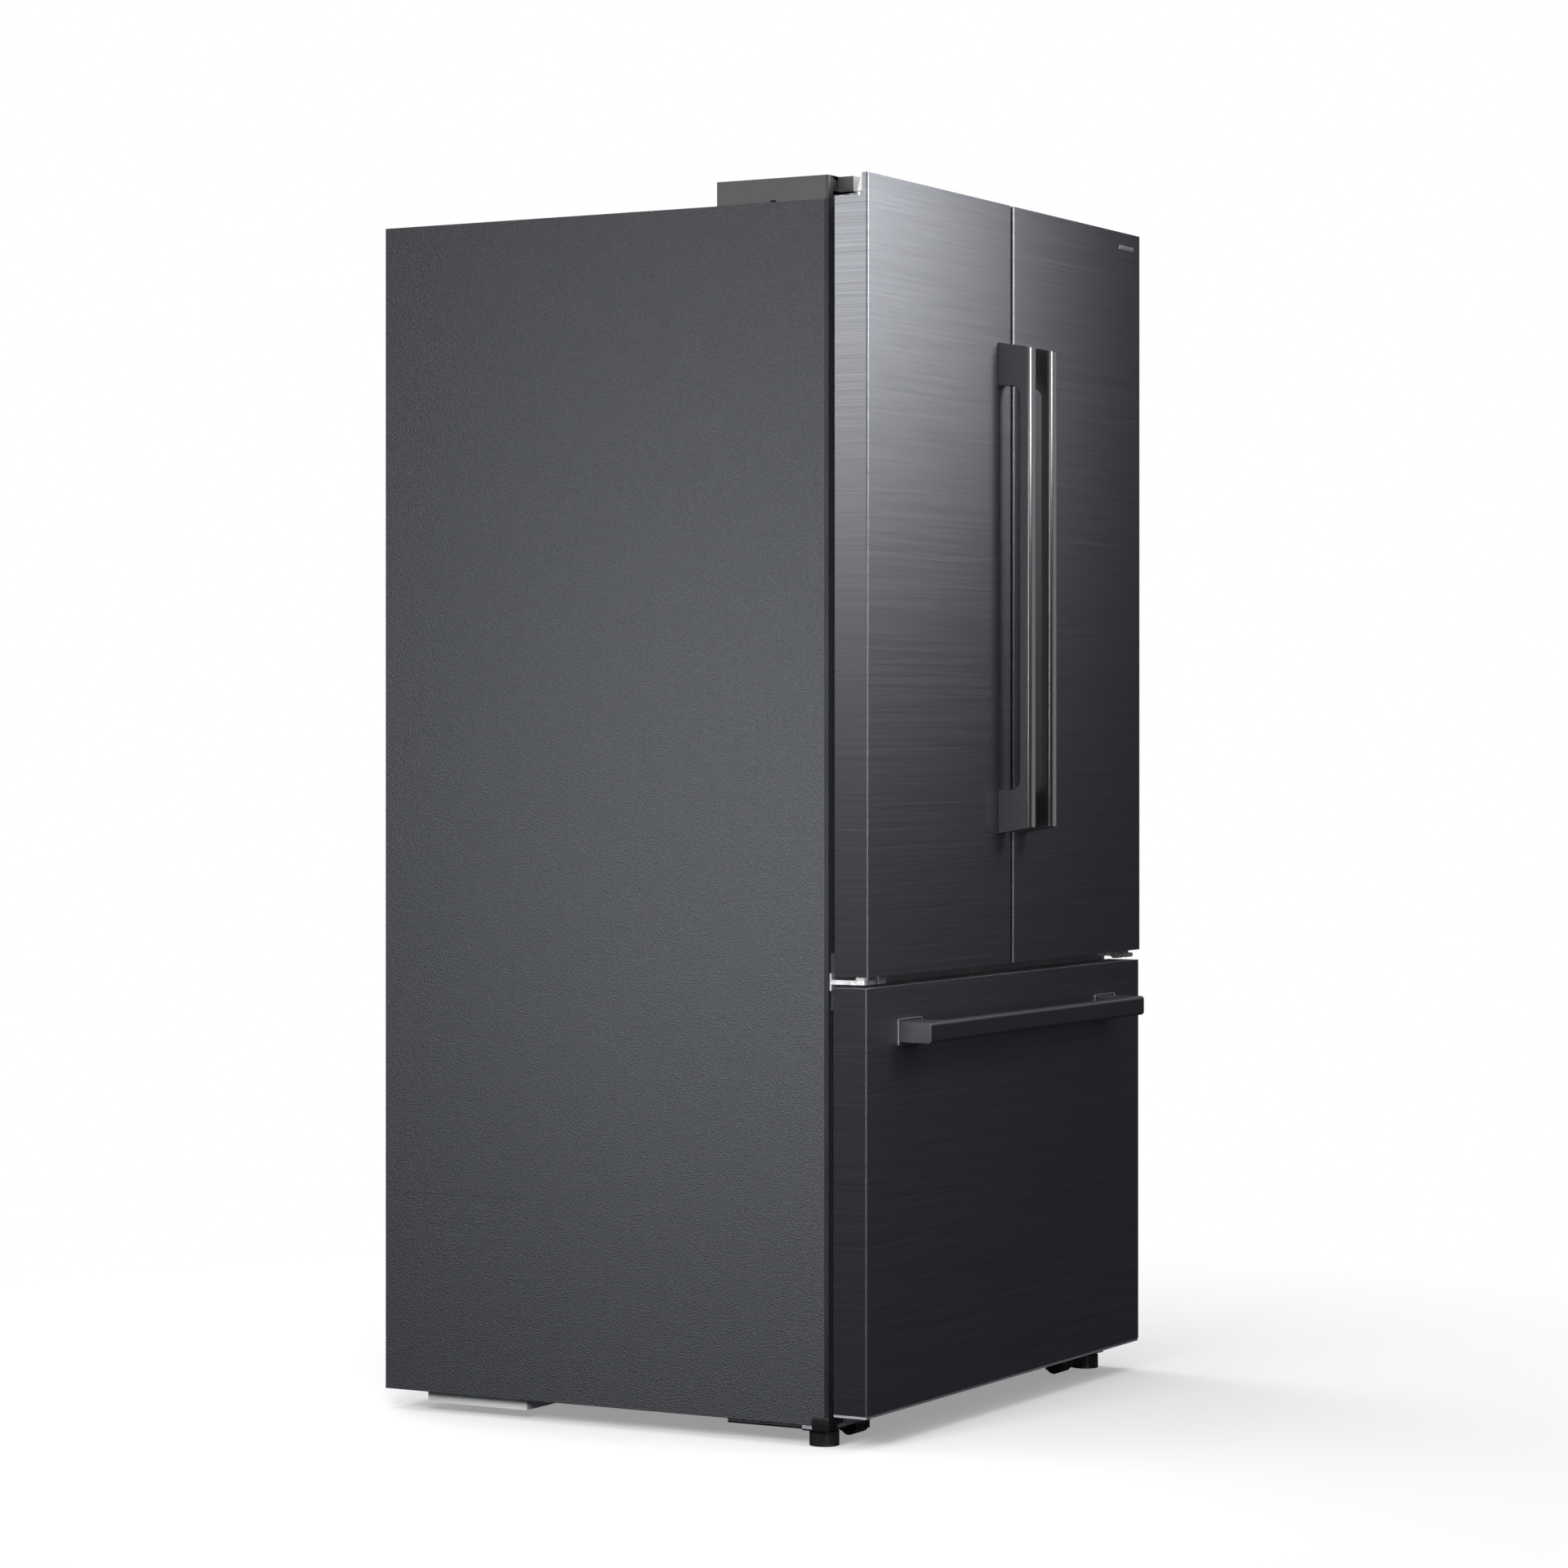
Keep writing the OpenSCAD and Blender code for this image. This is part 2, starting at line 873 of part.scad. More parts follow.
// Blades round a bored hub, turning about the Y axis, from y = 0 back
module fan_wheel(radius, hub_r, depth, bore_r, blades) {
    pitch = 40;
    blade_t = 1.6;
    blade_l = depth * 1.2;
    difference() {
        union() {
            rod_y([0, 0, 0], depth, hub_r);
            for (blade = [0:blades - 1])
                rotate([0, blade * 360 / blades, 0])
                    translate([hub_r - 2, depth / 2, 0])
                        rotate([pitch, 0, 0])
                            translate([0, -blade_t / 2, -blade_l / 2])
                                cube([radius - hub_r, blade_t, blade_l]);
        }
        rod_y([0, 2, 0], depth, bore_r);
    }
}

module evaporator_fan() {
    color("#e6e6e2") at_origin()
        translate([0, air_wall_y + 7, fan_z])
            fan_wheel(fan_r - 2, 14, 15, fan_shaft_r + pin_clear, 5);
}

rail_z = freezer_floor + 154;
rail_h = 40;
rail_in = 12;
rail_wall = 3;
rail_lip = 6;
lip_z = rail_z + 60;
guide_z = freezer_ceiling - 148;

module freezer_rails_fixed() {
    color(zinc) at_origin()
        both_sides() {
            difference() {
                box(
                    [-liner_x, cab_front + 18, rail_z],
                    [-liner_x + rail_in, step_back - 20, rail_z + rail_h]
                );
                box(
                    [-liner_x + rail_wall, cab_front, rail_z + rail_lip],
                    [-liner_x + rail_in + overlap, step_back - 26, rail_z + rail_h - rail_lip]
                );
            }
            box(
                [-liner_x, cab_front + 30, guide_z],
                [-liner_x + 9, air_wall_y - 60, guide_z + 6]
            );
        }
}

module freezer_rails_moving() {
    upright_x = -liner_x + rail_in + slack;
    rail_back = step_back - 30;
    color("#cfd2d5") at_origin()
        both_sides() {
            box(
                [-liner_x + rail_wall + slack, cab_front + 4, rail_z + rail_lip + slack],
                [upright_x + overlap, rail_back, rail_z + rail_h - rail_lip - slack]
            );
            box(
                [upright_x, freezer_back, rail_z + rail_lip + slack],
                [upright_x + rail_wall, rail_back, lip_z]
            );
            box(
                [upright_x, freezer_back, rail_z - 50],
                [upright_x + rail_wall, freezer_back + 50, lip_z]
            );
        }
}

module freezer_basket() {
    side_x = liner_x - rail_in - slack - 4;
    low = [-side_x, freezer_back + 24, freezer_floor + 24];
    high = [side_x, step_back - 32, lip_z + 4];
    pitch = 48;
    slot_l = 28;
    slot_h = 8;
    slot_rise = 60;
    slot_step = 30;
    lip_t = 4;
    slots = floor((side_x - slot_l) / pitch);
    color(plastic_white) at_origin()
        difference() {
            union() {
                tray(low, high, bin_t + 0.5);
                both_sides()
                    box(
                        [-side_x - lip_t, low[1], lip_z],
                        [-side_x + bin_t, high[1], lip_z + lip_t]
                    );
            }
            for (column = [-slots:slots], row = [0, 1])
                box(
                    [
                        pitch * column - slot_l / 2,
                        low[1] - overlap,
                        low[2] + slot_rise + slot_step * row
                    ],
                    [
                        pitch * column + slot_l / 2,
                        low[1] + bin_t + overlap,
                        low[2] + slot_rise + slot_h + slot_step * row
                    ]
                );
        }
}

module freezer_tray() {
    side_x = liner_x - 12;
    low = [-side_x, cab_front + 34, guide_z - 62];
    high = [side_x, cab_front + 430, guide_z + 10];
    color(clear_blue) at_origin() {
        tray(low, high, bin_t);
        both_sides()
            box(
                [-side_x - 9, low[1], guide_z + 6.3],
                [-side_x + bin_t, high[1], guide_z + 10]
            );
    }
}

module ice_maker() {
    low = [-liner_x + 14, cab_front + 240, freezer_ceiling - 104];
    high = [-liner_x + 184, cab_front + 500, freezer_ceiling];
    mould_top = low[2] + 44;
    cube_pitch = 29;
    cube_l = 24;
    color("#dcdfe1") at_origin() {
        difference() {
            box(
                [low[0], low[1] + 40, low[2]],
                [high[0] - 60, high[1], mould_top]
            );
            for (cell = [0:6])
                box(
                    [low[0] + 8, low[1] + 52 + cube_pitch * cell, low[2] + 10],
                    [high[0] - 68, low[1] + 52 + cube_l + cube_pitch * cell, mould_top + overlap]
                );
        }
        box(low, [high[0] - 40, low[1] + 40, mould_top + 30]);
        for (y = [low[1] + 10, high[1] - 24])
            box([low[0], y, mould_top], [low[0] + 6, y + 24, high[2]]);
        box(
            [high[0] - 50, low[1] + 40, low[2] + 4],
            [high[0] - 46, high[1] - 20, low[2] + 8]
        );
    }
}

// ------------------------------------------------------------ machine space

machine_mid = (machine_y + cab_back) / 2;
machine_z = plate_z + plate_t - sheet_t;

module compressor() {
    centre = [170, machine_mid];
    shell_r = 70;
    shell_low = machine_z + 24;
    shell_h = 96;
    dome_h = 34;
    seam_h = 6;
    foot_at = 66;
    color("#1d1f21") at_origin() {
        translate([centre[0], centre[1], shell_low + dome_h]) {
            cylinder(h = shell_h, r = shell_r);
            translate([0, 0, shell_h])
                rotate_extrude() dome_outline(shell_r, dome_h);
            mirror([0, 0, 1])
                rotate_extrude() dome_outline(shell_r, dome_h);
            translate([0, 0, (shell_h - seam_h) / 2])
                cylinder(h = seam_h, r = shell_r + 3);
        }
        for (dx = [-1, 1], dy = [-1, 1])
            translate([centre[0] + foot_at * dx, centre[1] + foot_at * dy, machine_z]) {
                cylinder(h = 20, r = 11);
                translate([0, 0, 14]) cylinder(h = 10, r = 5);
            }
        box(
            [centre[0] - 80, centre[1] - 78, machine_z + 20],
            [centre[0] + 80, centre[1] + 78, machine_z + 26]
        );
        box(
            [centre[0] + shell_r - 6, centre[1] - 26, shell_low + 60],
            [centre[0] + shell_r + 28, centre[1] + 26, shell_low + 122]
        );
    }
}

// Half of a flattened dome's section, with an arc at its rim
module dome_outline(radius, height) {
    square([radius - height, height]);
    intersection() {
        translate([radius - height, 0]) circle(r = height);
        translate([radius - height - overlap, 0]) square(height + overlap);
    }
}

fan2_z = machine_z + 108;
fan2_x = -92;
fan2_shaft_r = 3;

module condenser() {
    low = [-268, machine_mid - 84, machine_z];
    high = [-124, machine_mid + 84, machine_z + 210];
    motor_x = fan2_x + 42;
    motor_l = 30;
    motor_r = 24;
    end_out = 5;
    fin_pitch = 8;
    tube_r = 4.5;
    shroud_t = 6;
    shroud_r = 64;
    color("#26282a") at_origin() {
        for (fin = [0:20])
            box(
                [low[0], low[1] + fin_pitch * fin, low[2] + 14],
                [high[0] - 10, low[1] + fin_pitch * fin + 1, high[2] - 10]
            );
        for (row = [0:4], column = [0:2])
            rod_y(
                [low[0] + 22 + 45 * column, low[1] - end_out, low[2] + 32 + 36 * row],
                high[1] - low[1] + 2 * end_out, tube_r
            );
        for (y = [low[1] - end_out, high[1] + end_out - 2])
            box([low[0], y, low[2]], [high[0] - 10, y + 2, high[2]]);
        difference() {
            box(
                [high[0] - shroud_t, low[1] - end_out, low[2]],
                [high[0], high[1] + end_out, high[2] + 4]
            );
            rod_x([high[0] - shroud_t / 2, machine_mid, fan2_z], shroud_t + 2 * overlap, shroud_r);
        }
        rod_x([motor_x + motor_l / 2, machine_mid, fan2_z], motor_l, motor_r);
        rod_x([motor_x - 14, machine_mid, fan2_z], 30, fan2_shaft_r);
        box(
            [motor_x + 8, machine_mid - 9, machine_z],
            [motor_x + 22, machine_mid + 9, fan2_z - 20]
        );
    }
}

module condenser_fan() {
    color("#2f3133") at_origin()
        translate([fan2_x, machine_mid, fan2_z])
            rotate([0, 0, -90])
                translate([0, -2, 0])
                    fan_wheel(60, 15, 32, fan2_shaft_r + pin_clear, 5);
}

pan_low = [-half_w + 14, cab_back - 237, 13];
pan_high = [-half_w + 134, cab_back - 66, base_gap];

module drain_pan() {
    color("#f2f2f0") at_origin() tray(pan_low, pan_high, 2);
}

inlet_x = -half_w + 84;
inlet_z = machine_z + 190;
inlet_r = 5.5;
inlet_l = 18;

module machine_cover() {
    group_pitch = 120;
    slot_in = 16;
    slot_z = 60;
    slot_pitch = 16;
    slot_h = 7;
    inlet_hole_r = 14;
    color("#8a8d90") at_origin()
        difference() {
            box(
                [-half_w + 2, cab_back - sheet_t, plate_z + plate_t],
                [half_w - 2, cab_back, machine_top]
            );
            for (group = [-3:2], slot = [0:5])
                box(
                    [
                        group_pitch * group + slot_in,
                        cab_back - 2 * sheet_t,
                        plate_z + slot_z + slot_pitch * slot
                    ],
                    [
                        group_pitch * (group + 1) - slot_in,
                        cab_back + overlap,
                        plate_z + slot_z + slot_h + slot_pitch * slot
                    ]
                );
            rod_y([inlet_x, cab_back - 2 * sheet_t, inlet_z], 4, inlet_hole_r);
        }
}

module water_valve() {
    body_y = cab_back - inlet_l - 42;
    body_w = 48;
    body_h = 40;
    coil_h = 26;
    coil_r = 14;
    color("#e4e2da") at_origin() {
        box(
            [inlet_x - body_w / 2, body_y, inlet_z - body_h / 2],
            [inlet_x + body_w / 2, cab_back - inlet_l - sheet_t, inlet_z + body_h / 2]
        );
        rod_y(
            [inlet_x, cab_back - inlet_l - sheet_t - overlap, inlet_z],
            inlet_l + overlap, inlet_r
        );
        box(
            [inlet_x - 20, body_y + 16, machine_z],
            [inlet_x + 20, body_y + 20, inlet_z - body_h / 2 + overlap]
        );
        translate([inlet_x, body_y + 20, inlet_z + body_h / 2 - overlap])
            cylinder(h = coil_h, r = coil_r);
    }
}

// ----------------------------------------------------------- feet, rollers

module foot() {
    ribs = 24;
    rib_r = 1.6;
    translate([-foot_x, foot_y, 0]) {
        difference() {
            cylinder(h = foot_h, r = foot_r);
            for (rib = [0:ribs - 1])
                rotate([0, 0, rib * 360 / ribs])
                    translate([foot_r + 0.6, 0, 4])
                        cylinder(h = foot_h, r = rib_r);
        }
        cylinder(h = plate_z - 1, r = stem_r);
    }
}

module foot_left() {
    color("#141516") at_origin() foot();
}

module foot_right() {
    color("#141516") at_origin() mirror([1, 0, 0]) foot();
}

// A roller with two grooves round its rim
module roller(x, y, z) {
    groove_w = 3;
    groove_d = 2;
    difference() {
        union() {
            difference() {
                rod_x([x, y, z], roller_w, roller_r);
                for (side = [-1, 1])
                    rod_x([x + side * roller_w / 4, y, z], groove_w, roller_r + overlap);
            }
            rod_x([x, y, z], roller_w - 2, roller_r - groove_d);
        }
        rod_x([x, y, z], roller_w + 2 * overlap, axle_r + pin_clear);
    }
}

module front_rollers() {
    color("#9a9da0") at_origin()
        both_sides() roller(front_roller_x, front_roller_y, roller_r + front_lift);
}

module rear_rollers() {
    color("#9a9da0") at_origin()
        both_sides() roller(rear_roller_x, rear_roller_y, roller_r);
}

// ------------------------------------------------------------ upper doors

// The taller part of the top end cap, round the hinge's notch
cap_top = cap_h + notch_drop;
cap_l = notch_l + 20;

// Outline of a door seen from above, with its two front edges rounded
module slab_outline(left, right, front, back, radius) {
    translate([left, front + radius]) square([right - left, back - front - radius]);
    translate([left + radius, front]) square([right - left - 2 * radius, radius + overlap]);
    for (x = [left + radius, right - radius])
        translate([x, front + radius]) circle(r = radius);
}

// A bent steel skin: front and both sides
module skin(left, right, front, back) {
    difference() {
        slab_outline(left, right, front, back, skin_r);
        slab_outline(left + skin_t, right - skin_t, front + skin_t, back + overlap, skin_r - skin_t);
    }
}

// The corner cut out of a door's top for the hinge
module notch() {
    box(
        [-half_w - overlap, notch_lip, notch_z],
        [-half_w + notch_l, door_t + overlap, door_top + overlap]
    );
}

module door_skin() {
    difference() {
        translate([0, 0, door_bottom])
            linear_extrude(door_top - door_bottom)
                skin(-half_w, door_inner, 0, door_t);
        notch();
    }
}

module door_skin_left() {
    color(door_grey) at_origin() door_skin();
}

module door_skin_right() {
    color(door_grey) at_origin() mirror([1, 0, 0]) door_skin();
}

module end_cap(left, right, front, back, z, height) {
    translate([0, 0, z])
        linear_extrude(height)
            slab_outline(left + skin_t, right - skin_t, front + skin_t, back, skin_r - skin_t);
}

module door_caps() {
    difference() {
        union() {
            end_cap(-half_w, door_inner, 0, door_t, door_bottom, cap_h);
            end_cap(-half_w, -half_w + cap_l, 0, door_t, door_top - cap_top, cap_top);
            end_cap(-half_w, door_inner, 0, door_t, door_top - cap_h, cap_h);
        }
        notch();
        translate([pin_x, pin_back, door_bottom - overlap])
            cylinder(h = mid_pin_l + 2 + overlap, r = pin_r + pin_clear);
        translate([pin_x, pin_back, notch_z - top_pin_l - 2])
            cylinder(h = top_pin_l + 2 + overlap, r = pin_r + pin_clear);
    }
    box(
        [pin_x + 26, pin_back - 12, mid_arm_low],
        [pin_x + 48, pin_back - 4, door_bottom + overlap]
    );
}

module door_caps_left() {
    color(cap_grey) at_origin() door_caps();
}

module door_caps_right() {
    color(cap_grey) at_origin() mirror([1, 0, 0]) door_caps();
}

module door_core() {
    difference() {
        translate([0, 0, door_bottom + cap_h])
            linear_extrude(door_top - door_bottom - 2 * cap_h)
                slab_outline(
                    -half_w + skin_t, door_inner - skin_t,
                    skin_t, door_t - liner_plate, skin_r - skin_t
                );
        box(
            [-half_w, -overlap, door_top - cap_top],
            [-half_w + cap_l - skin_t, door_t, door_top]
        );
    }
}

module door_core_left() {
    color("#e8dfc0") at_origin() door_core();
}

module door_core_right() {
    color("#e8dfc0") at_origin() mirror([1, 0, 0]) door_core();
}

// Corners of the ridge on an upper door's liner: a frame of its own that
// stands a hairline off the liner's plate
ridge_lo = [-half_w + ridge_in, door_t + ridge_gap, fridge_floor + ridge_end];
ridge_hi = [door_inner - ridge_in + 4, door_t + ridge_d, fridge_ceiling - ridge_end];
bin_left = ridge_lo[0] + ridge_w;
bin_right = ridge_hi[0] - ridge_w;
bin_back = shelf_front - 28;
bin_off = 4;
bin_cut = 30;

// The bar that closes the gap between the doors, and its pivot
bar_x = -27;
bar_w = 18;
bar_l = 63;
bar_y = cab_front + bar_w / 2;
bar_z = [ridge_lo[2] + 15, ridge_hi[2] - 15];
bar_pin_r = 3;
lug_h = 12;
lug_r = 7;

module door_liner() {
    difference() {
        box(
            [-half_w + skin_t, door_t - liner_plate, door_bottom + cap_h],
            [door_inner - skin_t, door_t, door_top - cap_h]
        );
        box(
            [-half_w, 0, door_top - cap_top],
            [-half_w + cap_l - skin_t, door_t + overlap, door_top]
        );
    }
    ring(ridge_lo, ridge_hi, ridge_w);
}

// Lugs for the bar's two pivot pins
module bar_lugs() {
    for (z = [bar_z[0] - lug_h - slack, bar_z[1] + slack])
        difference() {
            union() {
                box(
                    [ridge_hi[0] - overlap, bar_y - lug_r, z],
                    [bar_x, bar_y + lug_r, z + lug_h]
                );
                translate([bar_x, bar_y, z]) cylinder(h = lug_h, r = lug_r);
            }
            translate([bar_x, bar_y, z - overlap])
                cylinder(h = lug_h + 2 * overlap, r = bar_pin_r + pin_clear);
        }
}

module door_liner_left() {
    color(plastic_white) at_origin() {
        door_liner();
        bar_lugs();
    }
}

// The dairy bin's lid turns in two lugs on the ridge
lid_pin_r = 3;
lid_y = door_t + 14;
lid_z = door_bottom + bin_rise[2] + bin_h + 8;
lid_mid = -(bin_left + bin_right) / 2;
lid_span = bin_right - bin_left;
lid_lug_w = 8;
lid_lug_r = 6;

module lid_lugs() {
    for (x = [bin_left - overlap, bin_right + overlap - lid_lug_w])
        box(
            [x, lid_y - lid_lug_r, lid_z - lid_lug_r],
            [x + lid_lug_w, lid_y + lid_lug_r, lid_z + lid_lug_r]
        );
}

module door_liner_right() {
    color(plastic_white) at_origin()
        difference() {
            mirror([1, 0, 0]) {
                door_liner();
                lid_lugs();
            }
            rod_x([lid_mid, lid_y, lid_z], lid_span - overlap, lid_pin_r + pin_clear);
        }
}

module mullion_bar() {
    end_r = bar_w / 2 - 0.3;
    color("#aeb2b6") at_origin() {
        translate([0, 0, bar_z[0]])
            linear_extrude(bar_z[1] - bar_z[0]) {
                translate([bar_x, bar_y]) circle(r = end_r);
                translate([bar_x - end_r, bar_y]) square([2 * end_r, bar_l]);
            }
        translate([bar_x, bar_y, bar_z[0] - lug_h])
            cylinder(h = bar_z[1] - bar_z[0] + 2 * lug_h, r = bar_pin_r);
    }
}

module door_gasket() {
    ring(
        [-half_w + seal_in, door_t, door_bottom + 8],
        [door_inner - seal_in + 4, door_t + seal_gap, fridge_ceiling + seal_over],
        seal_w
    );
}

module door_gasket_left() {
    color("#5d6164") at_origin() door_gasket();
}

module door_gasket_right() {
    color("#5d6164") at_origin() mirror([1, 0, 0]) door_gasket();
}

// Side view of a handle: a bar on two posts, lying along +X from x = 0
module handle_side(length, taper, post, out) {
    inner = [length - 2 * post, out - bar_t];
    fillet = min(15, inner[1] - 2);
    difference() {
        polygon([[0, 0], [length, 0], [length - taper, -out], [taper, -out]]);
        translate([post, -inner[1] + fillet]) square([inner[0], inner[1]]);
        translate([post + fillet, -inner[1]])
            square([inner[0] - 2 * fillet, inner[1]]);
        for (x = [post + fillet, post + inner[0] - fillet])
            translate([x, -inner[1] + fillet]) circle(r = fillet);
    }
}

module handle() {
    edge_r = 7;
    left = door_inner - handle_inset - handle_w;
    intersection() {
        translate([left - overlap, 0, door_bottom + handle_rise])
            rotate([90, 0, 90])
                linear_extrude(handle_w + 2 * overlap)
                    rotate(90)
                        mirror([0, 1]) handle_side(handle_l, 9, post_l, handle_out);
        translate([0, 0, door_bottom + handle_rise - overlap])
            linear_extrude(handle_l + 2 * overlap)
                slab_outline(left, left + handle_w, -handle_out, overlap, edge_r);
    }
}

module handle_left() {
    color("#1b1c1e") at_origin() handle();
}

module handle_right() {
    color("#1b1c1e") at_origin() mirror([1, 0, 0]) handle();
}

module door_bin(z) {
    difference() {
        tray([bin_left, door_t + bin_off, z], [bin_right, bin_back, z + bin_h], bin_t);
        box(
            [bin_left - overlap, door_t, z + bin_h - bin_cut],
            [bin_right + overlap, door_t + bin_off + bin_t + overlap, z + bin_h + overlap]
        );
    }
}

module door_bins() {
    for (rise = bin_rise)
        door_bin(door_bottom + rise);
}

module door_bins_left() {
    color(clear_blue) at_origin() door_bins();
}

module door_bins_right() {
    color(clear_blue) at_origin() mirror([1, 0, 0]) door_bins();
}

module dairy_lid() {
    half = lid_span / 2 - lid_lug_w;
    flap_t = 3;
    flap_h = 30;
    front = bin_back + overlap;
    color(clear_blue) at_origin() {
        rod_x([lid_mid, lid_y, lid_z], lid_span - 2 * overlap, lid_pin_r);
        box(
            [lid_mid - half, lid_y, lid_z - flap_t / 2],
            [lid_mid + half, front + flap_t, lid_z + flap_t / 2]
        );
        box(
            [lid_mid - half, front, lid_z - flap_h],
            [lid_mid + half, front + flap_t, lid_z + flap_t / 2]
        );
    }
}

// ---------------------------------------------------------- freezer drawer

lip_h = 4;

module freezer_skin() {
    color(door_grey) at_origin()
        translate([0, 0, freezer_bottom + lip_h])
            linear_extrude(freezer_top - freezer_bottom - lip_h)
                skin(-half_w, half_w, freezer_front, freezer_back);
}

module freezer_caps() {
    color(cap_grey) at_origin() {
        end_cap(-half_w, half_w, freezer_front, freezer_back, freezer_bottom, cap_h);
        end_cap(-half_w, half_w, freezer_front, freezer_back, freezer_top - cap_h, cap_h);
    }
}

module freezer_core() {
    color("#e8dfc0") at_origin()
        translate([0, 0, freezer_bottom + cap_h])
            linear_extrude(freezer_top - freezer_bottom - 2 * cap_h)
                slab_outline(
                    -half_w + skin_t, half_w - skin_t,
                    freezer_front + skin_t, freezer_back - liner_plate, skin_r - skin_t
                );
}

module freezer_door_liner() {
    ring_in = 26;
    ring_rise = 14;
    ring_d = 16;
    ring_w = 20;
    color(plastic_white) at_origin() {
        box(
            [-half_w + skin_t, freezer_back - liner_plate, freezer_bottom + cap_h],
            [half_w - skin_t, freezer_back, freezer_top - cap_h]
        );
        ring(
            [-liner_x + ring_in, freezer_back - overlap, freezer_floor + ring_rise],
            [liner_x - ring_in, freezer_back + ring_d, freezer_ceiling - ring_rise],
            ring_w
        );
    }
}

module freezer_gasket() {
    color("#5d6164") at_origin()
        ring(
            [-half_w + seal_in, freezer_back, freezer_floor - seal_over],
            [half_w - seal_in, cab_front, freezer_ceiling + 26],
            seal_w
        );
}

module freezer_handle() {
    edge_r = 5;
    plate = 3;
    low_z = freezer_top - freezer_handle_drop - freezer_handle_h / 2;
    color("#1b1c1e") at_origin()
        translate([0, freezer_front, 0]) {
            intersection() {
                translate([-freezer_handle_l / 2, 0, low_z])
                    linear_extrude(freezer_handle_h)
                        handle_side(freezer_handle_l, -2, post_l - 2, handle_out);
                translate([-freezer_handle_l, 0, 0])
                    rotate([90, 0, 90])
                        linear_extrude(2 * freezer_handle_l)
                            bar_section(low_z, low_z + freezer_handle_h, edge_r);
            }
            both_sides()
                box(
                    [-freezer_handle_l / 2 - plate, -1.5, low_z - plate],
                    [-freezer_handle_l / 2 + post_l + plate, 0, low_z + freezer_handle_h + plate]
                );
        }
}

// Section of the freezer handle, with its two front edges rounded
module bar_section(low, high, radius) {
    translate([-handle_out + radius, low]) square([handle_out - radius, high - low]);
    translate([-handle_out, low + radius]) square([radius + overlap, high - low - 2 * radius]);
    for (z = [low + radius, high - radius])
        translate([-handle_out + radius, z]) circle(r = radius);
}

side_panel_left();
side_panel_right();
top_panel();
back_panel();
cabinet_insulation();
fridge_liner();
freezer_liner();
divider_rail();
base_frame();
hinge_cover_left();
hinge_cover_right();
top_hinges();
mid_hinges();
hinge_screws();
shelf_frames();
shelf_glass();
air_duct();
control_panel();
evaporator_cover();
evaporator();
compressor();
condenser();
drain_pan();
machine_cover();
water_valve();
freezer_rails_fixed();
ice_maker();
evaporator_fan();
condenser_fan();
foot_left();
foot_right();
front_rollers();
rear_rollers();
crisper_left();
crisper_right();
mullion_bar();
door_skin_left();
door_liner_left();
door_core_left();
door_caps_left();
door_gasket_left();
handle_left();
door_bins_left();
door_skin_right();
door_liner_right();
door_core_right();
door_caps_right();
door_gasket_right();
handle_right();
door_bins_right();
dairy_lid();
freezer_skin();
freezer_door_liner();
freezer_core();
freezer_caps();
freezer_gasket();
freezer_handle();
freezer_rails_moving();
freezer_basket();
freezer_tray();
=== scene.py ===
import json
import math

import bmesh
import bpy
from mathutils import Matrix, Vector


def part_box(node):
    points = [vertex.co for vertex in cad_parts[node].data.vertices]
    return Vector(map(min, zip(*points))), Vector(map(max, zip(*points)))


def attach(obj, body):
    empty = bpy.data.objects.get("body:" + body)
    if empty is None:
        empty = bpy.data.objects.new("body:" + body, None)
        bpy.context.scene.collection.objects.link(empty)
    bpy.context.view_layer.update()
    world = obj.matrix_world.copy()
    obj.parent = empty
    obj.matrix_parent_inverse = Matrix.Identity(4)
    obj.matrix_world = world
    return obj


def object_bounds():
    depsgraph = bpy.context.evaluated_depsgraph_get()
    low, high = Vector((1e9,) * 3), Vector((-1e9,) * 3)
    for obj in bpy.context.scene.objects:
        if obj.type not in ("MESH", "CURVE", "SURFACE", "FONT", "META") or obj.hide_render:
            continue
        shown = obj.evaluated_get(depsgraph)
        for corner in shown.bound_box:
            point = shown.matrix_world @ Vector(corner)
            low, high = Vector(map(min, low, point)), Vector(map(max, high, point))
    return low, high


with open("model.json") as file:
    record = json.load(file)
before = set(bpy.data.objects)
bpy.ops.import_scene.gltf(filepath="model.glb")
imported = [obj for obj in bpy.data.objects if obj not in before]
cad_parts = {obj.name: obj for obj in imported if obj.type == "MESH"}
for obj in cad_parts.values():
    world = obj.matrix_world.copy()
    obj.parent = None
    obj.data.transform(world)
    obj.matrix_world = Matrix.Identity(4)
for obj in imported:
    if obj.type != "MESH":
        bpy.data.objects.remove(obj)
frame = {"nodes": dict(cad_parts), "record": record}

cad_bounds = [list(corner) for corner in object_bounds()]
nodes = frame["nodes"]
record = frame["record"]
MM = 0.001

# ------------------------------------------------------------------ places

low, high = (Vector(corner) for corner in cad_bounds)
half_w = (high.x - low.x) / 2
door_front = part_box("door_skin_left")[0].y
door_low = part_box("door_skin_left")[0].z
door_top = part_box("door_skin_left")[1].z
cabinet_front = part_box("side_panel_left")[0].y
cabinet_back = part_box("side_panel_left")[1].y
cabinet_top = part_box("top_panel")[1].z
side_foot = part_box("side_panel_left")[0].z
notch_floor = door_top - 31 * MM


# --------------------------------------------------------------- materials

# The part of a noise texture's values that a colour or roughness range is spread over.
TEXTURE_RANGE = (0.3, 0.7)


def new_material(name):
    material = bpy.data.materials.new(name)
    material.use_nodes = True
    return material


def shader_of(material):
    return material.node_tree.nodes["Principled BSDF"]


def set_shader(material, **values):
    shader = shader_of(material)
    for name, value in values.items():
        socket = shader.inputs[name.replace("_", " ")]
        socket.default_value = (*value, 1) if isinstance(value, tuple) else value


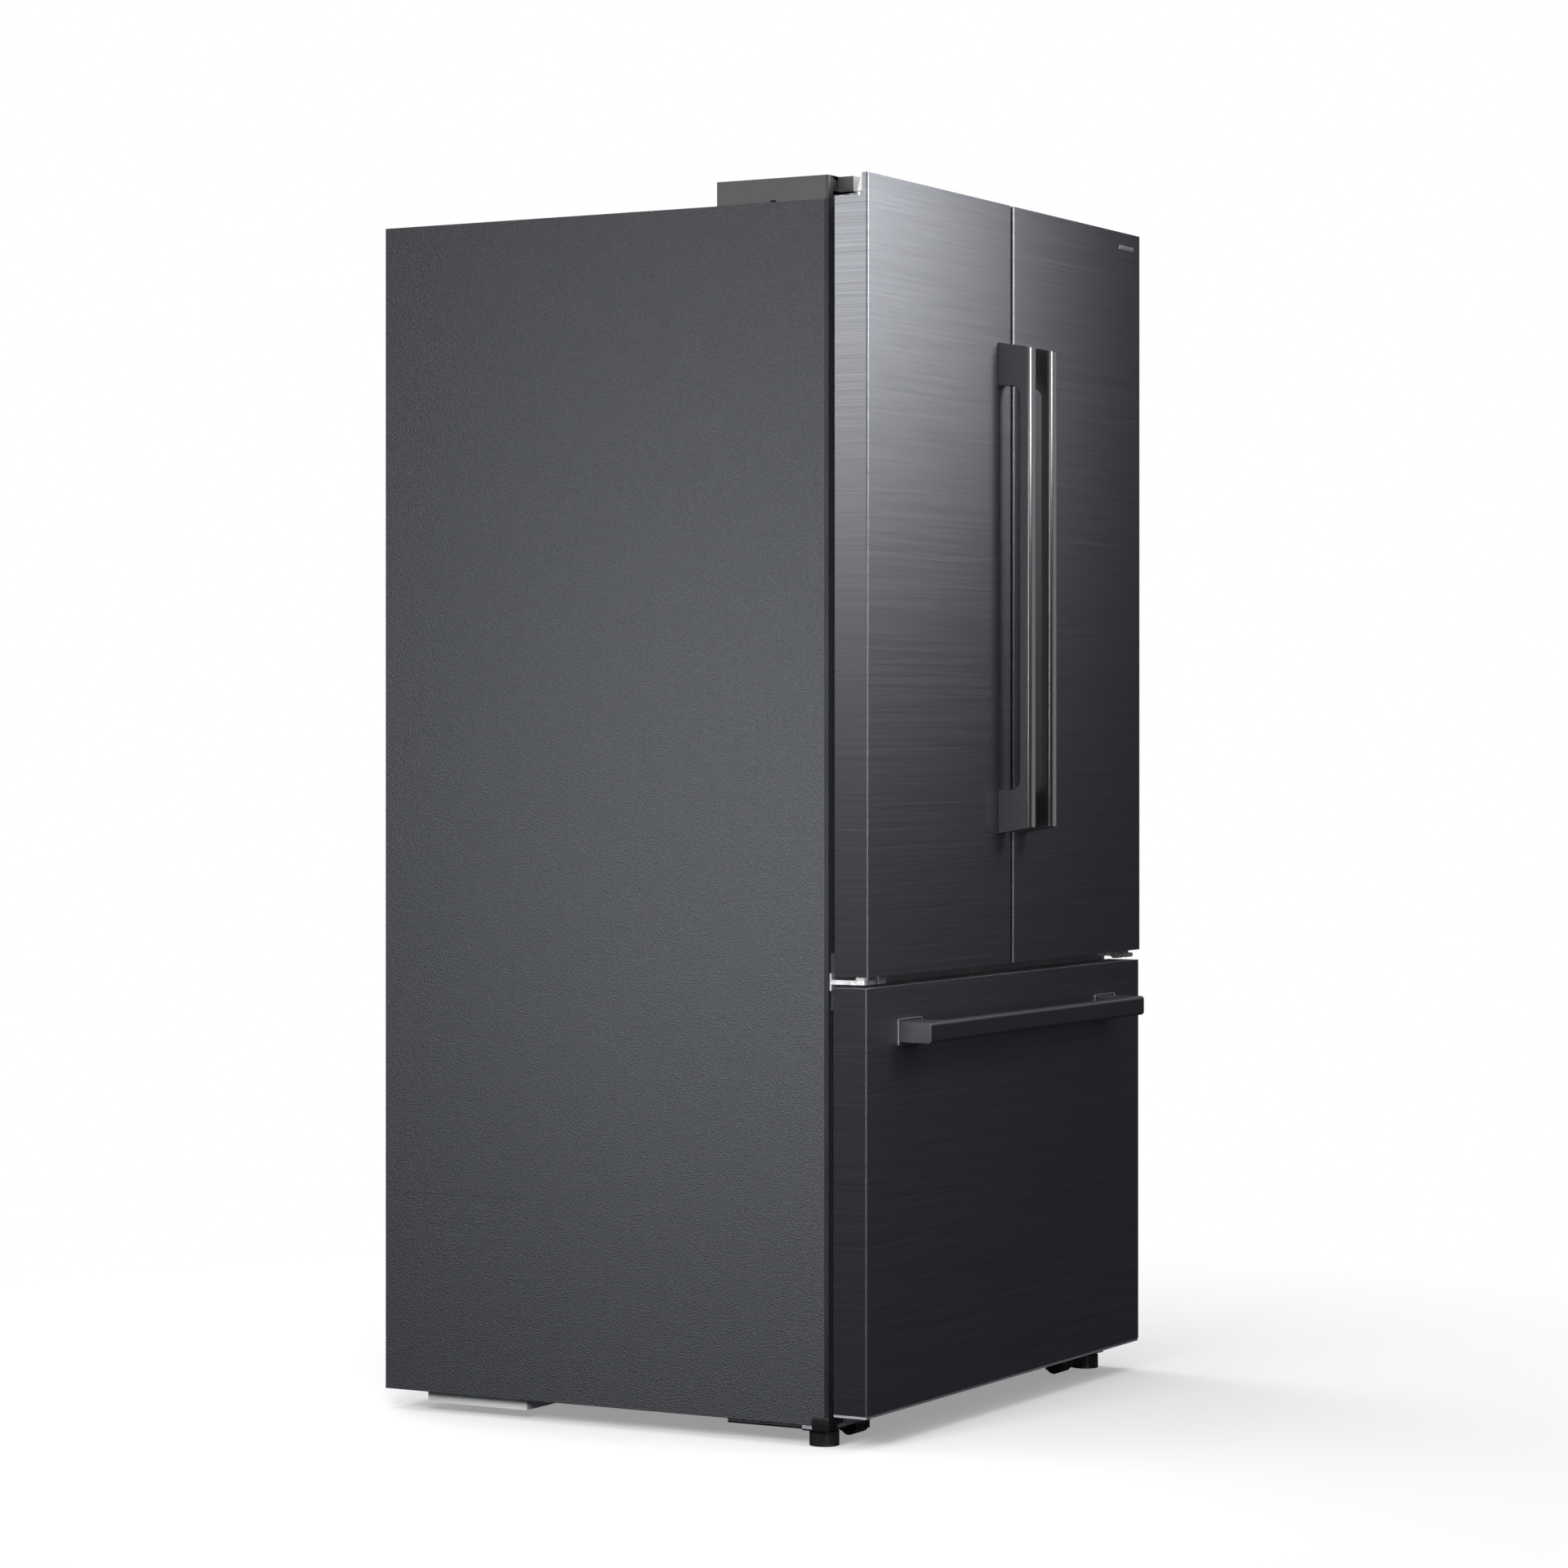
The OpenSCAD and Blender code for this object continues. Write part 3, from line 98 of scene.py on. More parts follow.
def mapped(material, scale, turn=(0, 0, 0)):
    """Object coordinates, which are the row frame, scaled for a texture."""
    tree = material.node_tree
    where = tree.nodes.new("ShaderNodeTexCoord")
    mapping = tree.nodes.new("ShaderNodeMapping")
    mapping.inputs["Scale"].default_value = scale
    mapping.inputs["Rotation"].default_value = turn
    tree.links.new(where.outputs["Object"], mapping.inputs["Vector"])
    return mapping.outputs["Vector"]


def noise(material, scale, detail=2.0, turn=(0, 0, 0)):
    tree = material.node_tree
    texture = tree.nodes.new("ShaderNodeTexNoise")
    texture.inputs["Scale"].default_value = 1.0
    texture.inputs["Detail"].default_value = detail
    tree.links.new(mapped(material, scale, turn), texture.inputs["Vector"])
    return texture.outputs["Fac"]


def cells(material, scale):
    tree = material.node_tree
    texture = tree.nodes.new("ShaderNodeTexVoronoi")
    texture.inputs["Scale"].default_value = 1.0
    tree.links.new(mapped(material, scale), texture.inputs["Vector"])
    return texture


def spread(material, value, low_value, high_value):
    """Maps a texture's value to a range."""
    tree = material.node_tree
    ramp = tree.nodes.new("ShaderNodeMapRange")
    for name, number in (
        ("From Min", TEXTURE_RANGE[0]), ("From Max", TEXTURE_RANGE[1]),
        ("To Min", low_value), ("To Max", high_value),
    ):
        ramp.inputs[name].default_value = number
    tree.links.new(value, ramp.inputs["Value"])
    return ramp.outputs["Result"]


def tint(material, value, dark, light):
    """A colour between two, by a texture's value."""
    tree = material.node_tree
    ramp = tree.nodes.new("ShaderNodeValToRGB")
    for stop, position, colour in zip(ramp.color_ramp.elements, TEXTURE_RANGE, (dark, light)):
        stop.position = position
        stop.color = (*colour, 1)
    tree.links.new(value, ramp.inputs["Fac"])
    tree.links.new(ramp.outputs["Color"], shader_of(material).inputs["Base Color"])


def rough(material, value, low_value, high_value):
    tree = material.node_tree
    tree.links.new(
        spread(material, value, low_value, high_value),
        shader_of(material).inputs["Roughness"],
    )


def bump(material, *heights):
    """Bumps of (texture value, strength, depth in metres), one over the other."""
    tree = material.node_tree
    normal = None
    for value, strength, depth in heights:
        node = tree.nodes.new("ShaderNodeBump")
        node.inputs["Strength"].default_value = strength
        node.inputs["Distance"].default_value = depth
        tree.links.new(value, node.inputs["Height"])
        if normal:
            tree.links.new(normal, node.inputs["Normal"])
        normal = node.outputs["Normal"]
    tree.links.new(normal, shader_of(material).inputs["Normal"])


def pebbled_paint():
    """Dark painted steel, embossed with small slanting pebbles."""
    material = new_material("pebbled_dark_paint")
    pebble = noise(material, (330, 330, 560), detail=1.5, turn=(math.radians(32), 0, 0))
    fine = noise(material, (1500, 1500, 1500))
    # The pebble tint is painted sheen: each pebble's facets are lighter and darker in colour to
    # stand in for light falling on them.
    tint(material, pebble, (0.050, 0.053, 0.058), (0.080, 0.083, 0.089))
    rough(material, fine, 0.40, 0.5)
    bump(material, (pebble, 1.0, 0.0028), (fine, 0.15, 0.0002))
    set_shader(material, Specular_IOR_Level=0.22)
    return material


def brushed_dark():
    """Dark stainless steel with a fine level grain."""
    material = new_material("brushed_dark_stainless")
    grain = noise(material, (7, 7, 1700), detail=4)
    streak = noise(material, (2, 2, 420), detail=3)
    tint(material, grain, (0.125, 0.128, 0.138), (0.175, 0.179, 0.192))
    rough(material, streak, 0.45, 0.50)
    bump(material, (grain, 0.2, 0.0001), (streak, 0.04, 0.0001))
    set_shader(material, Metallic=1.0)
    return material


def handle_black():
    """Black coated metal with the faintest orange peel."""
    material = new_material("handle_black")
    peel = noise(material, (700, 700, 700), detail=2)
    tint(material, peel, (0.053, 0.054, 0.057), (0.057, 0.058, 0.062))
    bump(material, (peel, 0.03, 0.00006))
    set_shader(material, Specular_IOR_Level=0.9, Roughness=0.27)
    return material


def moulded(name, dark, light, roughness=0.45, grain=900, depth=0.00012, **values):
    """Moulded plastic: a spark-eroded grain and a slight change of colour."""
    material = new_material(name)
    skin = noise(material, (grain, grain, grain), detail=3)
    broad = noise(material, (7, 7, 7), detail=2)
    tint(material, broad, dark, light)
    rough(material, skin, roughness - 0.06, roughness + 0.08)
    bump(material, (skin, 0.3, depth))
    set_shader(material, **values)
    return material


def foam():
    """Yellow insulating foam, full of small bubbles."""
    material = new_material("polyurethane_foam")
    bubbles = cells(material, (260, 260, 260))
    blotch = noise(material, (14, 14, 14), detail=4)
    tint(material, blotch, (0.70, 0.60, 0.36), (0.83, 0.75, 0.50))
    bump(material, (bubbles.outputs["Distance"], 0.8, 0.002), (blotch, 0.4, 0.002))
    set_shader(material, Roughness=0.9)
    return material


def spangled(name, dark, light, low_rough=0.28, high_rough=0.48, metallic=0.95):
    """Zinc coated steel with its crystal spangle."""
    material = new_material(name)
    crystal = cells(material, (140, 140, 140))
    tree = material.node_tree
    grey = tree.nodes.new("ShaderNodeRGBToBW")
    tree.links.new(crystal.outputs["Color"], grey.inputs["Color"])
    tint(material, grey.outputs["Val"], dark, light)
    rough(material, grey.outputs["Val"], low_rough, high_rough)
    roll = noise(material, (30, 600, 600), detail=2)
    bump(material, (roll, 0.1, 0.0001))
    set_shader(material, Metallic=metallic)
    return material


def satin(name, dark, light, low_rough=0.3, high_rough=0.38):
    """Satin metal trim with a fine grain along its length."""
    material = new_material(name)
    grain = noise(material, (20, 900, 900), detail=3)
    tint(material, grain, dark, light)
    rough(material, grain, low_rough, high_rough)
    bump(material, (grain, 0.1, 0.00005))
    set_shader(material, Metallic=0.7)
    return material


def rubber():
    """Grey seal rubber with a little dust."""
    material = new_material("seal_rubber")
    skin = noise(material, (1300, 1300, 1300), detail=3)
    dust = noise(material, (18, 18, 18), detail=5)
    tint(material, dust, (0.055, 0.058, 0.061), (0.085, 0.088, 0.092))
    rough(material, dust, 0.6, 0.78)
    bump(material, (skin, 0.3, 0.00015))
    set_shader(material, Specular_IOR_Level=0.35)
    return material


def see_through(name, colour, roughness, weight, scratches=True):
    """Clear plastic or glass, with faint wear in its gloss."""
    material = new_material(name)
    haze = noise(material, (45, 45, 45), detail=4)
    tint(material, haze, colour, tuple(min(1, c * 1.03) for c in colour))
    rough(material, haze, roughness, roughness + 0.06)
    if scratches:
        bump(material, (noise(material, (60, 60, 900), detail=2), 0.04, 0.0001))
    set_shader(material, Transmission_Weight=weight, IOR=1.49)
    return material


def cast_black():
    """The compressor's thick black paint."""
    material = new_material("compressor_black")
    orange = noise(material, (520, 520, 520), detail=2)
    tint(material, noise(material, (9, 9, 9)), (0.010, 0.010, 0.011), (0.016, 0.016, 0.017))
    rough(material, orange, 0.28, 0.42)
    bump(material, (orange, 0.25, 0.0003))
    set_shader(material, Coat_Weight=0.3, Coat_Roughness=0.25)
    return material


FINISHES = {
    "dark_steel": pebbled_paint(),
    "dark_stainless": brushed_dark(),
    "handle_black": handle_black(),
    "cap_grey": moulded("cap_grey_plastic", (0.40, 0.41, 0.42), (0.46, 0.47, 0.48), 0.42),
    "cover_grey": moulded(
        "cover_grey_plastic", (0.054, 0.058, 0.057), (0.066, 0.070, 0.069), 0.5,
        Specular_IOR_Level=0.25,
    ),
    "black_plastic": moulded(
        "black_plastic", (0.009, 0.009, 0.010), (0.017, 0.017, 0.018), 0.42, 700,
    ),
    "foam": foam(),
    "white_plastic": moulded(
        "white_liner_plastic", (0.74, 0.76, 0.77), (0.82, 0.83, 0.84), 0.26, 500, 0.00006,
        Coat_Weight=0.15,
    ),
    "clear_plastic": see_through("clear_bin_plastic", (0.86, 0.93, 0.96), 0.06, 0.92),
    "shelf_glass": see_through("tempered_shelf_glass", (0.86, 0.96, 0.93), 0.01, 1.0, False),
    "zinc_steel": spangled(
        "galvanised_steel", (0.50, 0.51, 0.53), (0.58, 0.59, 0.61), 0.38, 0.5, 0.55,
    ),
    "hinge_nickel": spangled(
        "plated_hinge_steel", (0.72, 0.73, 0.74), (0.84, 0.85, 0.86), 0.25, 0.38, 0.35,
    ),
    "seal_rubber": rubber(),
    "coil_aluminium": spangled(
        "coil_aluminium", (0.66, 0.67, 0.69), (0.76, 0.77, 0.79), 0.25, 0.4,
    ),
    "black_steel": cast_black(),
    "fan_plastic": moulded("fan_plastic", (0.66, 0.65, 0.6), (0.74, 0.73, 0.68), 0.5),
    "pan_plastic": moulded("pan_plastic", (0.78, 0.78, 0.76), (0.84, 0.84, 0.82), 0.48),
    "roller_plastic": moulded(
        "roller_plastic", (0.012, 0.012, 0.013), (0.02, 0.02, 0.021), 0.36,
    ),
}
SLOT_OF = {part["node"]: part["material_slot"] for part in record["subparts"]}


def paint(node, material):
    slots = nodes[node].data.materials
    slots.clear()
    slots.append(material)


for node_name, slot_name in SLOT_OF.items():
    paint(node_name, FINISHES[slot_name])


def colour_below(material, axis, edge, below):
    """Gives a finish another colour below a place along an axis."""
    tree = material.node_tree
    socket = shader_of(material).inputs["Base Color"]
    where = tree.nodes.new("ShaderNodeTexCoord")
    axes = tree.nodes.new("ShaderNodeSeparateXYZ")
    step = tree.nodes.new("ShaderNodeMath")
    step.operation = "LESS_THAN"
    step.inputs[1].default_value = edge
    mix = tree.nodes.new("ShaderNodeMix")
    mix.data_type = "RGBA"
    mix.inputs["B"].default_value = (*below, 1)
    tree.links.new(where.outputs["Object"], axes.inputs["Vector"])
    tree.links.new(axes.outputs[axis], step.inputs[0])
    tree.links.new(step.outputs["Value"], mix.inputs["Factor"])
    tree.links.new(socket.links[0].from_socket, mix.inputs["A"])
    tree.links.new(mix.outputs["Result"], socket)


# The hinge covers' noses, in front of the cabinet, get a darker colour: painted shade on the noses.
colour_below(FINISHES["cover_grey"], "Y", cabinet_front + 0.2 * MM, (0.052, 0.053, 0.054))
base_steel = spangled("base_steel", (0.46, 0.47, 0.49), (0.62, 0.63, 0.65), metallic=0.4)
colour_below(base_steel, "Z", 24.3 * MM, (0.012, 0.012, 0.013))
paint("base_frame", base_steel)


def soften(node, width, segments=2):
    """Rounds the sharp edges of a CAD node by a small bevel, over its own mesh."""
    item = nodes[node]
    weld = item.modifiers.new("weld", "WELD")
    weld.merge_threshold = 0.00002
    flat = item.modifiers.new("flat", "DECIMATE")
    flat.decimate_type = "DISSOLVE"
    flat.angle_limit = math.radians(0.5)
    edge = item.modifiers.new("edge", "BEVEL")
    edge.width = width
    edge.segments = segments
    edge.limit_method = "ANGLE"
    edge.angle_limit = math.radians(35)
    edge.harden_normals = True
    edge.use_clamp_overlap = True


# ------------------------------------------------------------------ camera

def make_camera():
    """The studio camera: a long lens, level, from the left of the front."""
    data = bpy.data.cameras.new("camera")
    data.sensor_width = 36
    data.lens = 99.9
    data.shift_y = -0.0326
    camera = bpy.data.objects.new("camera", data)
    bpy.context.scene.collection.objects.link(camera)
    camera.location = (-5.7687, -3.2003, 0.9947)
    camera.rotation_euler = (math.radians(90), 0, math.radians(-60.91))
    bpy.context.scene.camera = camera


make_camera()


# ------------------------------------------------------------------- stage

def area_light(name, place, target, size, power):
    """A white rectangular lamp, with its size in metres and its power in watts."""
    data = bpy.data.lights.new(name, "AREA")
    data.shape = "RECTANGLE"
    data.size, data.size_y = size
    data.energy = power
    light = bpy.data.objects.new(name, data)
    bpy.context.scene.collection.objects.link(light)
    light.location = place
    light.rotation_euler = (Vector(target) - Vector(place)).to_track_quat("-Z", "Y").to_euler()
    light.visible_camera = False
    return light


def make_floor():
    """A pale floor that runs into the white background."""
    bpy.ops.mesh.primitive_plane_add(size=60, location=(0, 0, -0.0002))
    floor = bpy.context.object
    floor.name = "floor"
    material = new_material("floor_paper")
    tree = material.node_tree
    set_shader(material, Base_Color=(0.93, 0.93, 0.93), Roughness=0.95)
    where = tree.nodes.new("ShaderNodeTexCoord")
    length = tree.nodes.new("ShaderNodeVectorMath")
    length.operation = "LENGTH"
    fade = tree.nodes.new("ShaderNodeMapRange")
    fade.inputs["From Min"].default_value = 0.7
    fade.inputs["From Max"].default_value = 1.9
    fade.inputs["To Min"].default_value = 0.3
    glow = tree.nodes.new("ShaderNodeEmission")
    mix = tree.nodes.new("ShaderNodeMixShader")
    tree.links.new(where.outputs["Object"], length.inputs[0])
    tree.links.new(length.outputs["Value"], fade.inputs["Value"])
    tree.links.new(fade.outputs["Result"], mix.inputs["Fac"])
    tree.links.new(shader_of(material).outputs["BSDF"], mix.inputs[1])
    tree.links.new(glow.outputs["Emission"], mix.inputs[2])
    tree.links.new(mix.outputs["Shader"], tree.nodes["Material Output"].inputs["Surface"])
    floor.data.materials.append(material)
    floor.visible_glossy = False
    floor.visible_diffuse = False


def make_backdrop():
    """A white surround that only the camera sees."""
    bpy.ops.mesh.primitive_uv_sphere_add(segments=48, ring_count=24, radius=26)
    dome = bpy.context.object
    dome.name = "backdrop"
    material = new_material("backdrop_white")
    tree = material.node_tree
    glow = tree.nodes.new("ShaderNodeEmission")
    tree.links.new(glow.outputs["Emission"], tree.nodes["Material Output"].inputs["Surface"])
    dome.data.materials.append(material)
    dome.visible_diffuse = False
    dome.visible_glossy = False
    dome.visible_transmission = False
    dome.visible_shadow = False


def make_world():
    """Soft light from above that fades to near black below the horizon."""
    world = bpy.data.worlds.new("studio")
    world.use_nodes = True
    bpy.context.scene.world = world
    tree = world.node_tree
    where = tree.nodes.new("ShaderNodeTexCoord")
    axes = tree.nodes.new("ShaderNodeSeparateXYZ")
    ramp = tree.nodes.new("ShaderNodeValToRGB")
    ramp.color_ramp.elements[0].position = 0.48
    ramp.color_ramp.elements[0].color = (0.025, 0.026, 0.031, 1)
    ramp.color_ramp.elements[1].position = 0.85
    ramp.color_ramp.elements[1].color = (0.50, 0.51, 0.54, 1)
    centre = tree.nodes.new("ShaderNodeMapRange")
    centre.inputs["From Min"].default_value = -1
    centre.inputs["From Max"].default_value = 1
    tree.links.new(where.outputs["Generated"], axes.inputs["Vector"])
    tree.links.new(axes.outputs["Z"], centre.inputs["Value"])
    tree.links.new(centre.outputs["Result"], ramp.inputs["Fac"])
    tree.links.new(ramp.outputs["Color"], tree.nodes["Background"].inputs["Color"])


make_floor()
make_backdrop()
make_world()
area_light("top_softbox", (0, 0, 4.6), (0, 0, 0), (5, 5), 120)
door_key = area_light("door_key", (0.08, -1.5, 2.0), (-0.45, -0.38, 1.6), (0.8, 0.8), 11)
door_key.data.spread = math.radians(80)
wrap_key = area_light("wrap_key", (-1.9, 0.45, 1.9), (-0.45, -0.3, 1.45), (0.7, 0.5), 16)
side_glow = area_light("side_glow", (-1.7, -0.3, 0.95), (-0.45, -0.2, 0.95), (0.5, 0.8), 25)
front_strip = area_light("front_strip", (-2.4, -3.0, 1.4), (-0.4, -0.3, 1.0), (0.25, 2.4), 55)
bar_key = area_light("bar_key", (2.3, -1.6, 1.15), (-0.03, -0.43, 1.15), (0.9, 1.6), 4.5)
cap_key = area_light("cap_key", (-2.2, -2.2, 3.6), (-0.40, -0.34, 1.75), (0.5, 0.5), 34)
area_light("back_fill", (1.4, 4.4, 2.3), (0.0, 0.3, 0.9), (3, 3), 110)
for light in (door_key, wrap_key, front_strip, bar_key):
    light.visible_diffuse = False
side_glow.visible_glossy = False
bpy.context.scene.view_settings.view_transform = "Standard"

EDGE_ROUND = 0.0012
for name in ("side_panel_left", "side_panel_right", "hinge_cover_left", "hinge_cover_right"):
    soften(name, EDGE_ROUND)
for name in ("handle_left", "handle_right", "freezer_handle"):
    soften(name, EDGE_ROUND, 3)


# ----------------------------------------------------------------- details

TRIM = satin("satin_trim", (0.62, 0.63, 0.65), (0.70, 0.71, 0.73))
# A dark finish for the cabinet's front edges: painted shade along the rolled edge.
EDGE_SHADE = moulded(
    "dark_edge_painted_shade", (0.022, 0.023, 0.026), (0.032, 0.033, 0.036), 0.6,
    Specular_IOR_Level=0.15,
)
# Pale plastic for the lip ribs; on the noses' front plates the same pale colour is a painted
# highlight.
PALE_CAP_AND_HIGHLIGHT = moulded("pale_cap_and_highlight", (0.62, 0.62, 0.61), (0.68, 0.68, 0.67), 0.45)
NYLON = moulded("white_nylon", (0.74, 0.74, 0.72), (0.80, 0.80, 0.78), 0.4)
LENS = moulded(
    "lamp_lens", (0.86, 0.88, 0.90), (0.93, 0.94, 0.95), 0.35,
    Emission_Strength=5.0, Emission_Color=(1.0, 0.97, 0.90),
)
SIDES = (("left", -1), ("right", 1))


def mesh_piece(name, build, material, body, smooth=35):
    """A new mesh piece in the row frame, riding on a body."""
    mesh = bpy.data.meshes.new(name)
    work = bmesh.new()
    build(work)
    bmesh.ops.remove_doubles(work, verts=work.verts, dist=0.000001)
    bmesh.ops.recalc_face_normals(work, faces=work.faces)
    work.to_mesh(mesh)
    work.free()
    mesh.shade_smooth()
    mesh.set_sharp_from_angle(angle=math.radians(smooth))
    item = bpy.data.objects.new(name, mesh)
    bpy.context.scene.collection.objects.link(item)
    mesh.materials.append(material)
    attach(item, body)
    return item


def block(work, low_corner, high_corner, bevel=0.0, segments=3):
    """A box with rounded edges, added to a mesh."""
    low_corner, high_corner = Vector(low_corner), Vector(high_corner)
    made = bmesh.ops.create_cube(work, size=1)["verts"]
    bmesh.ops.scale(work, vec=high_corner - low_corner, verts=made)
    bmesh.ops.translate(work, vec=(high_corner + low_corner) / 2, verts=made)
    if bevel:
        edges = list({edge for vert in made for edge in vert.link_edges})
        bmesh.ops.bevel(
            work, geom=edges, offset=bevel, segments=segments, profile=0.5, affect="EDGES"
        )


def lathe(work, place, axis, profile, segments=20):
    """Turns a profile of (radius, height) points, in mm, about an axis."""
    turn = Vector(axis).to_track_quat("Z", "Y")
    rings = []
    for radius, height in profile:
        if radius == 0:
            rings.append([work.verts.new(Vector(place) + turn @ Vector((0, 0, height * MM)))])
            continue
        angles = (2 * math.pi * step / segments for step in range(segments))
        rings.append([
            work.verts.new(Vector(place) + turn @ Vector(
                (radius * MM * math.cos(a), radius * MM * math.sin(a), height * MM)
            ))
            for a in angles
        ])
    for ring, after in zip(rings, rings[1:]):
        for step in range(segments):
            corners = [ring[step % len(ring)], ring[(step + 1) % len(ring)],
                       after[(step + 1) % len(after)], after[step % len(after)]]
            corners = list(dict.fromkeys(corners))
            if len(corners) > 2:
                work.faces.new(corners)


def sweep(work, path, section, up, closed=False):
    """Sweeps a section of (side, up) points, in mm, along a mitred path."""
    up = Vector(up)
    path = [Vector(point) for point in path]
    rings = []
    for index, point in enumerate(path):
        before = path[index - 1] if closed or index else None
        after = path[(index + 1) % len(path)] if closed or index < len(path) - 1 else None
        into = (point - before).normalized() if before else (after - point).normalized()
        out = (after - point).normalized() if after else into
        along = (into + out).normalized()
        side = along.cross(up).normalized() / max(0.3, along.dot(into))
        rings.append([work.verts.new(point + side * s * MM + up * u * MM) for s, u in section])
    pairs = zip(rings, rings[1:] + rings[:1]) if closed else zip(rings, rings[1:])
    for ring, after in pairs:
        for step in range(len(section)):
            nxt = (step + 1) % len(section)
            work.faces.new((ring[step], ring[nxt], after[nxt], after[step]))
    if not closed:
        work.faces.new(rings[0])
        work.faces.new(rings[-1][::-1])


def rounded(width, height, radius, steps=4):
    """Section of a bar with rounded corners, round its middle."""
    points = []
    for corner, (sx, sy) in enumerate(((1, 1), (-1, 1), (-1, -1), (1, -1))):
        for step in range(steps + 1):
            angle = math.pi / 2 * (corner + step / steps)
            points.append((
                sx * (width / 2 - radius) + radius * math.cos(angle),
                sy * (height / 2 - radius) + radius * math.sin(angle),
            ))
    return points


def frame_path(low_x, low_z, high_x, high_z, y):
    """The corners of a level-sided frame that stands in a plane of constant Y."""
    return [(low_x, y, low_z), (high_x, y, low_z), (high_x, y, high_z), (low_x, y, high_z)]


def level_bar(work, low_x, high_x, y, z, section):
    """A bar across X with a given section."""
    sweep(work, [(low_x, y, z), (high_x, y, z)], section, (0, 1, 0))


def scaled(profile, across, along):
    """A lathe's profile made narrower and flatter."""
    return tuple((radius * across, height * along) for radius, height in profile)


# Profiles of a pan head screw and of a hexagon head's washer, for lathe().
PAN_HEAD = ((0, 1.2), (1.3, 1.2), (1.6, 2.2), (3.2, 1.9), (4.2, 1.0), (4.4, 0), (4.4, -1))
WASHER_HEAD = ((0, 2.6), (2.9, 2.8), (3.1, 2.4), (3.2, 0.9), (6.2, 0.6), (6.6, 0), (6.6, -1))


def badge():
    """The blank plate at the upper corner of the right door."""
    width, height, proud = 52 * MM, 7 * MM, 0.3 * MM
    left = half_w - 78 * MM
    top = door_top - 20 * MM
    mesh_piece(
        "badge_plate",
        lambda work: block(
            work, (left, door_front - 0.7 * MM, top - height),
            (left + width, door_front + proud, top), 0.3 * MM,
        ),
        TRIM, "right_door",
    )


def cabinet_edges():
    """The rolled front edges of the cabinet's sides, in a dark colour that is painted shade along
    the edge.
    """
    depth = 6.5 * MM
    for name, side in SIDES:
        def build(work):
            outer = side * (half_w + 0.35 * MM)
            inner = side * (half_w - 0.3 * MM)
            block(
                work,
                (min(outer, inner), cabinet_front - 0.2 * MM, side_foot + 12 * MM),
                (max(outer, inner), cabinet_front + depth, cabinet_top), 0.3 * MM,
            )
        mesh_piece(f"cabinet_edge_{name}", build, EDGE_SHADE, "cabinet")


def corner_blocks():
    """The ribbed black blocks at the cabinet's lower front corners."""
    size, clear = 26 * MM, 0.4 * MM
    rib_round = 0.3 * MM
    for name, side in SIDES:
        def build(work):
            outer = side * (half_w + clear)
            inner = side * (half_w - size - clear)
            low_z, high_z = side_foot - 5.3 * MM, side_foot + 10.3 * MM
            front, back = cabinet_front - clear, cabinet_front + size + clear
            rib_low, rib_high = low_z + 1.5 * MM, high_z - 1.5 * MM
            block(
                work, (min(outer, inner), front, low_z), (max(outer, inner), back, high_z),
                0.8 * MM,
            )
            for rib in range(5):
                place = front + (3.2 + 5 * rib) * MM
                edge, root = outer + side * 0.7 * MM, outer - side * MM
                block(
                    work, (min(edge, root), place, rib_low),
                    (max(edge, root), place + 1.6 * MM, rib_high), rib_round, 2,
                )
            for rib in range(4):
                place = outer - side * (4 + 6 * rib) * MM
                block(
                    work, (place - 0.8 * MM, front - 0.7 * MM, rib_low),
                    (place + 0.8 * MM, front + 1 * MM, rib_high), rib_round, 2,
                )
        mesh_piece(
            f"corner_block_{name}", build, FINISHES["black_plastic"], "cabinet"
        )


def freezer_highlight_rims():
    """Bright satin rims round the base plates of the freezer handle: a painted highlight along the
    plates' edges.
    """
    low_corner, high_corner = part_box("freezer_handle")
    plate_l, rim = 70 * MM, 0.35 * MM
    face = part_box("freezer_skin")[0].y
    for name, side in SIDES:
        end = high_corner.x if side > 0 else low_corner.x
        inner = end - side * plate_l
        corners = frame_path(
            min(end, inner) - rim, low_corner.z - rim,
            max(end, inner) + rim, high_corner.z + rim, face - 0.9 * MM,
        )
        mesh_piece(
            f"handle_rim_{name}",
            lambda work: sweep(work, corners, rounded(0.9, 1.8, 0.3), (0, 1, 0), True),
            TRIM, "freezer_drawer",
        )


def prism(work, side, x_range, profile, bevel):
    """A plate across X, from a profile of (back, up) points, in mm, off the notch's floor.

    x_range is how far in from the door's outer edge it starts and ends, in mm.
    """
    ends = []
    for x in x_range:
        ends.append([
            work.verts.new((
                side * (half_w - x * MM), door_front + back * MM, notch_floor + up * MM
            ))
            for back, up in profile
        ])
    work.faces.new(ends[0])
    work.faces.new(ends[1][::-1])
    for step in range(len(profile)):
        nxt = (step + 1) % len(profile)
        work.faces.new((ends[0][step], ends[1][step], ends[1][nxt], ends[0][nxt]))
    bmesh.ops.bevel(work, geom=list(work.edges), offset=bevel * MM, segments=2, affect="EDGES")


def notch_ribs():
    """The drafted inner wall of each door's hinge notch."""
    profile = ((9, 0), (17.4, 0), (15.5, 30.5), (9, 30.5))
    for name, side in SIDES:
        mesh_piece(
            f"notch_wall_{name}",
            lambda work: prism(work, side, (94.7, 96.4), profile, 0.4),
            FINISHES["cap_grey"], f"{name}_door",
        )


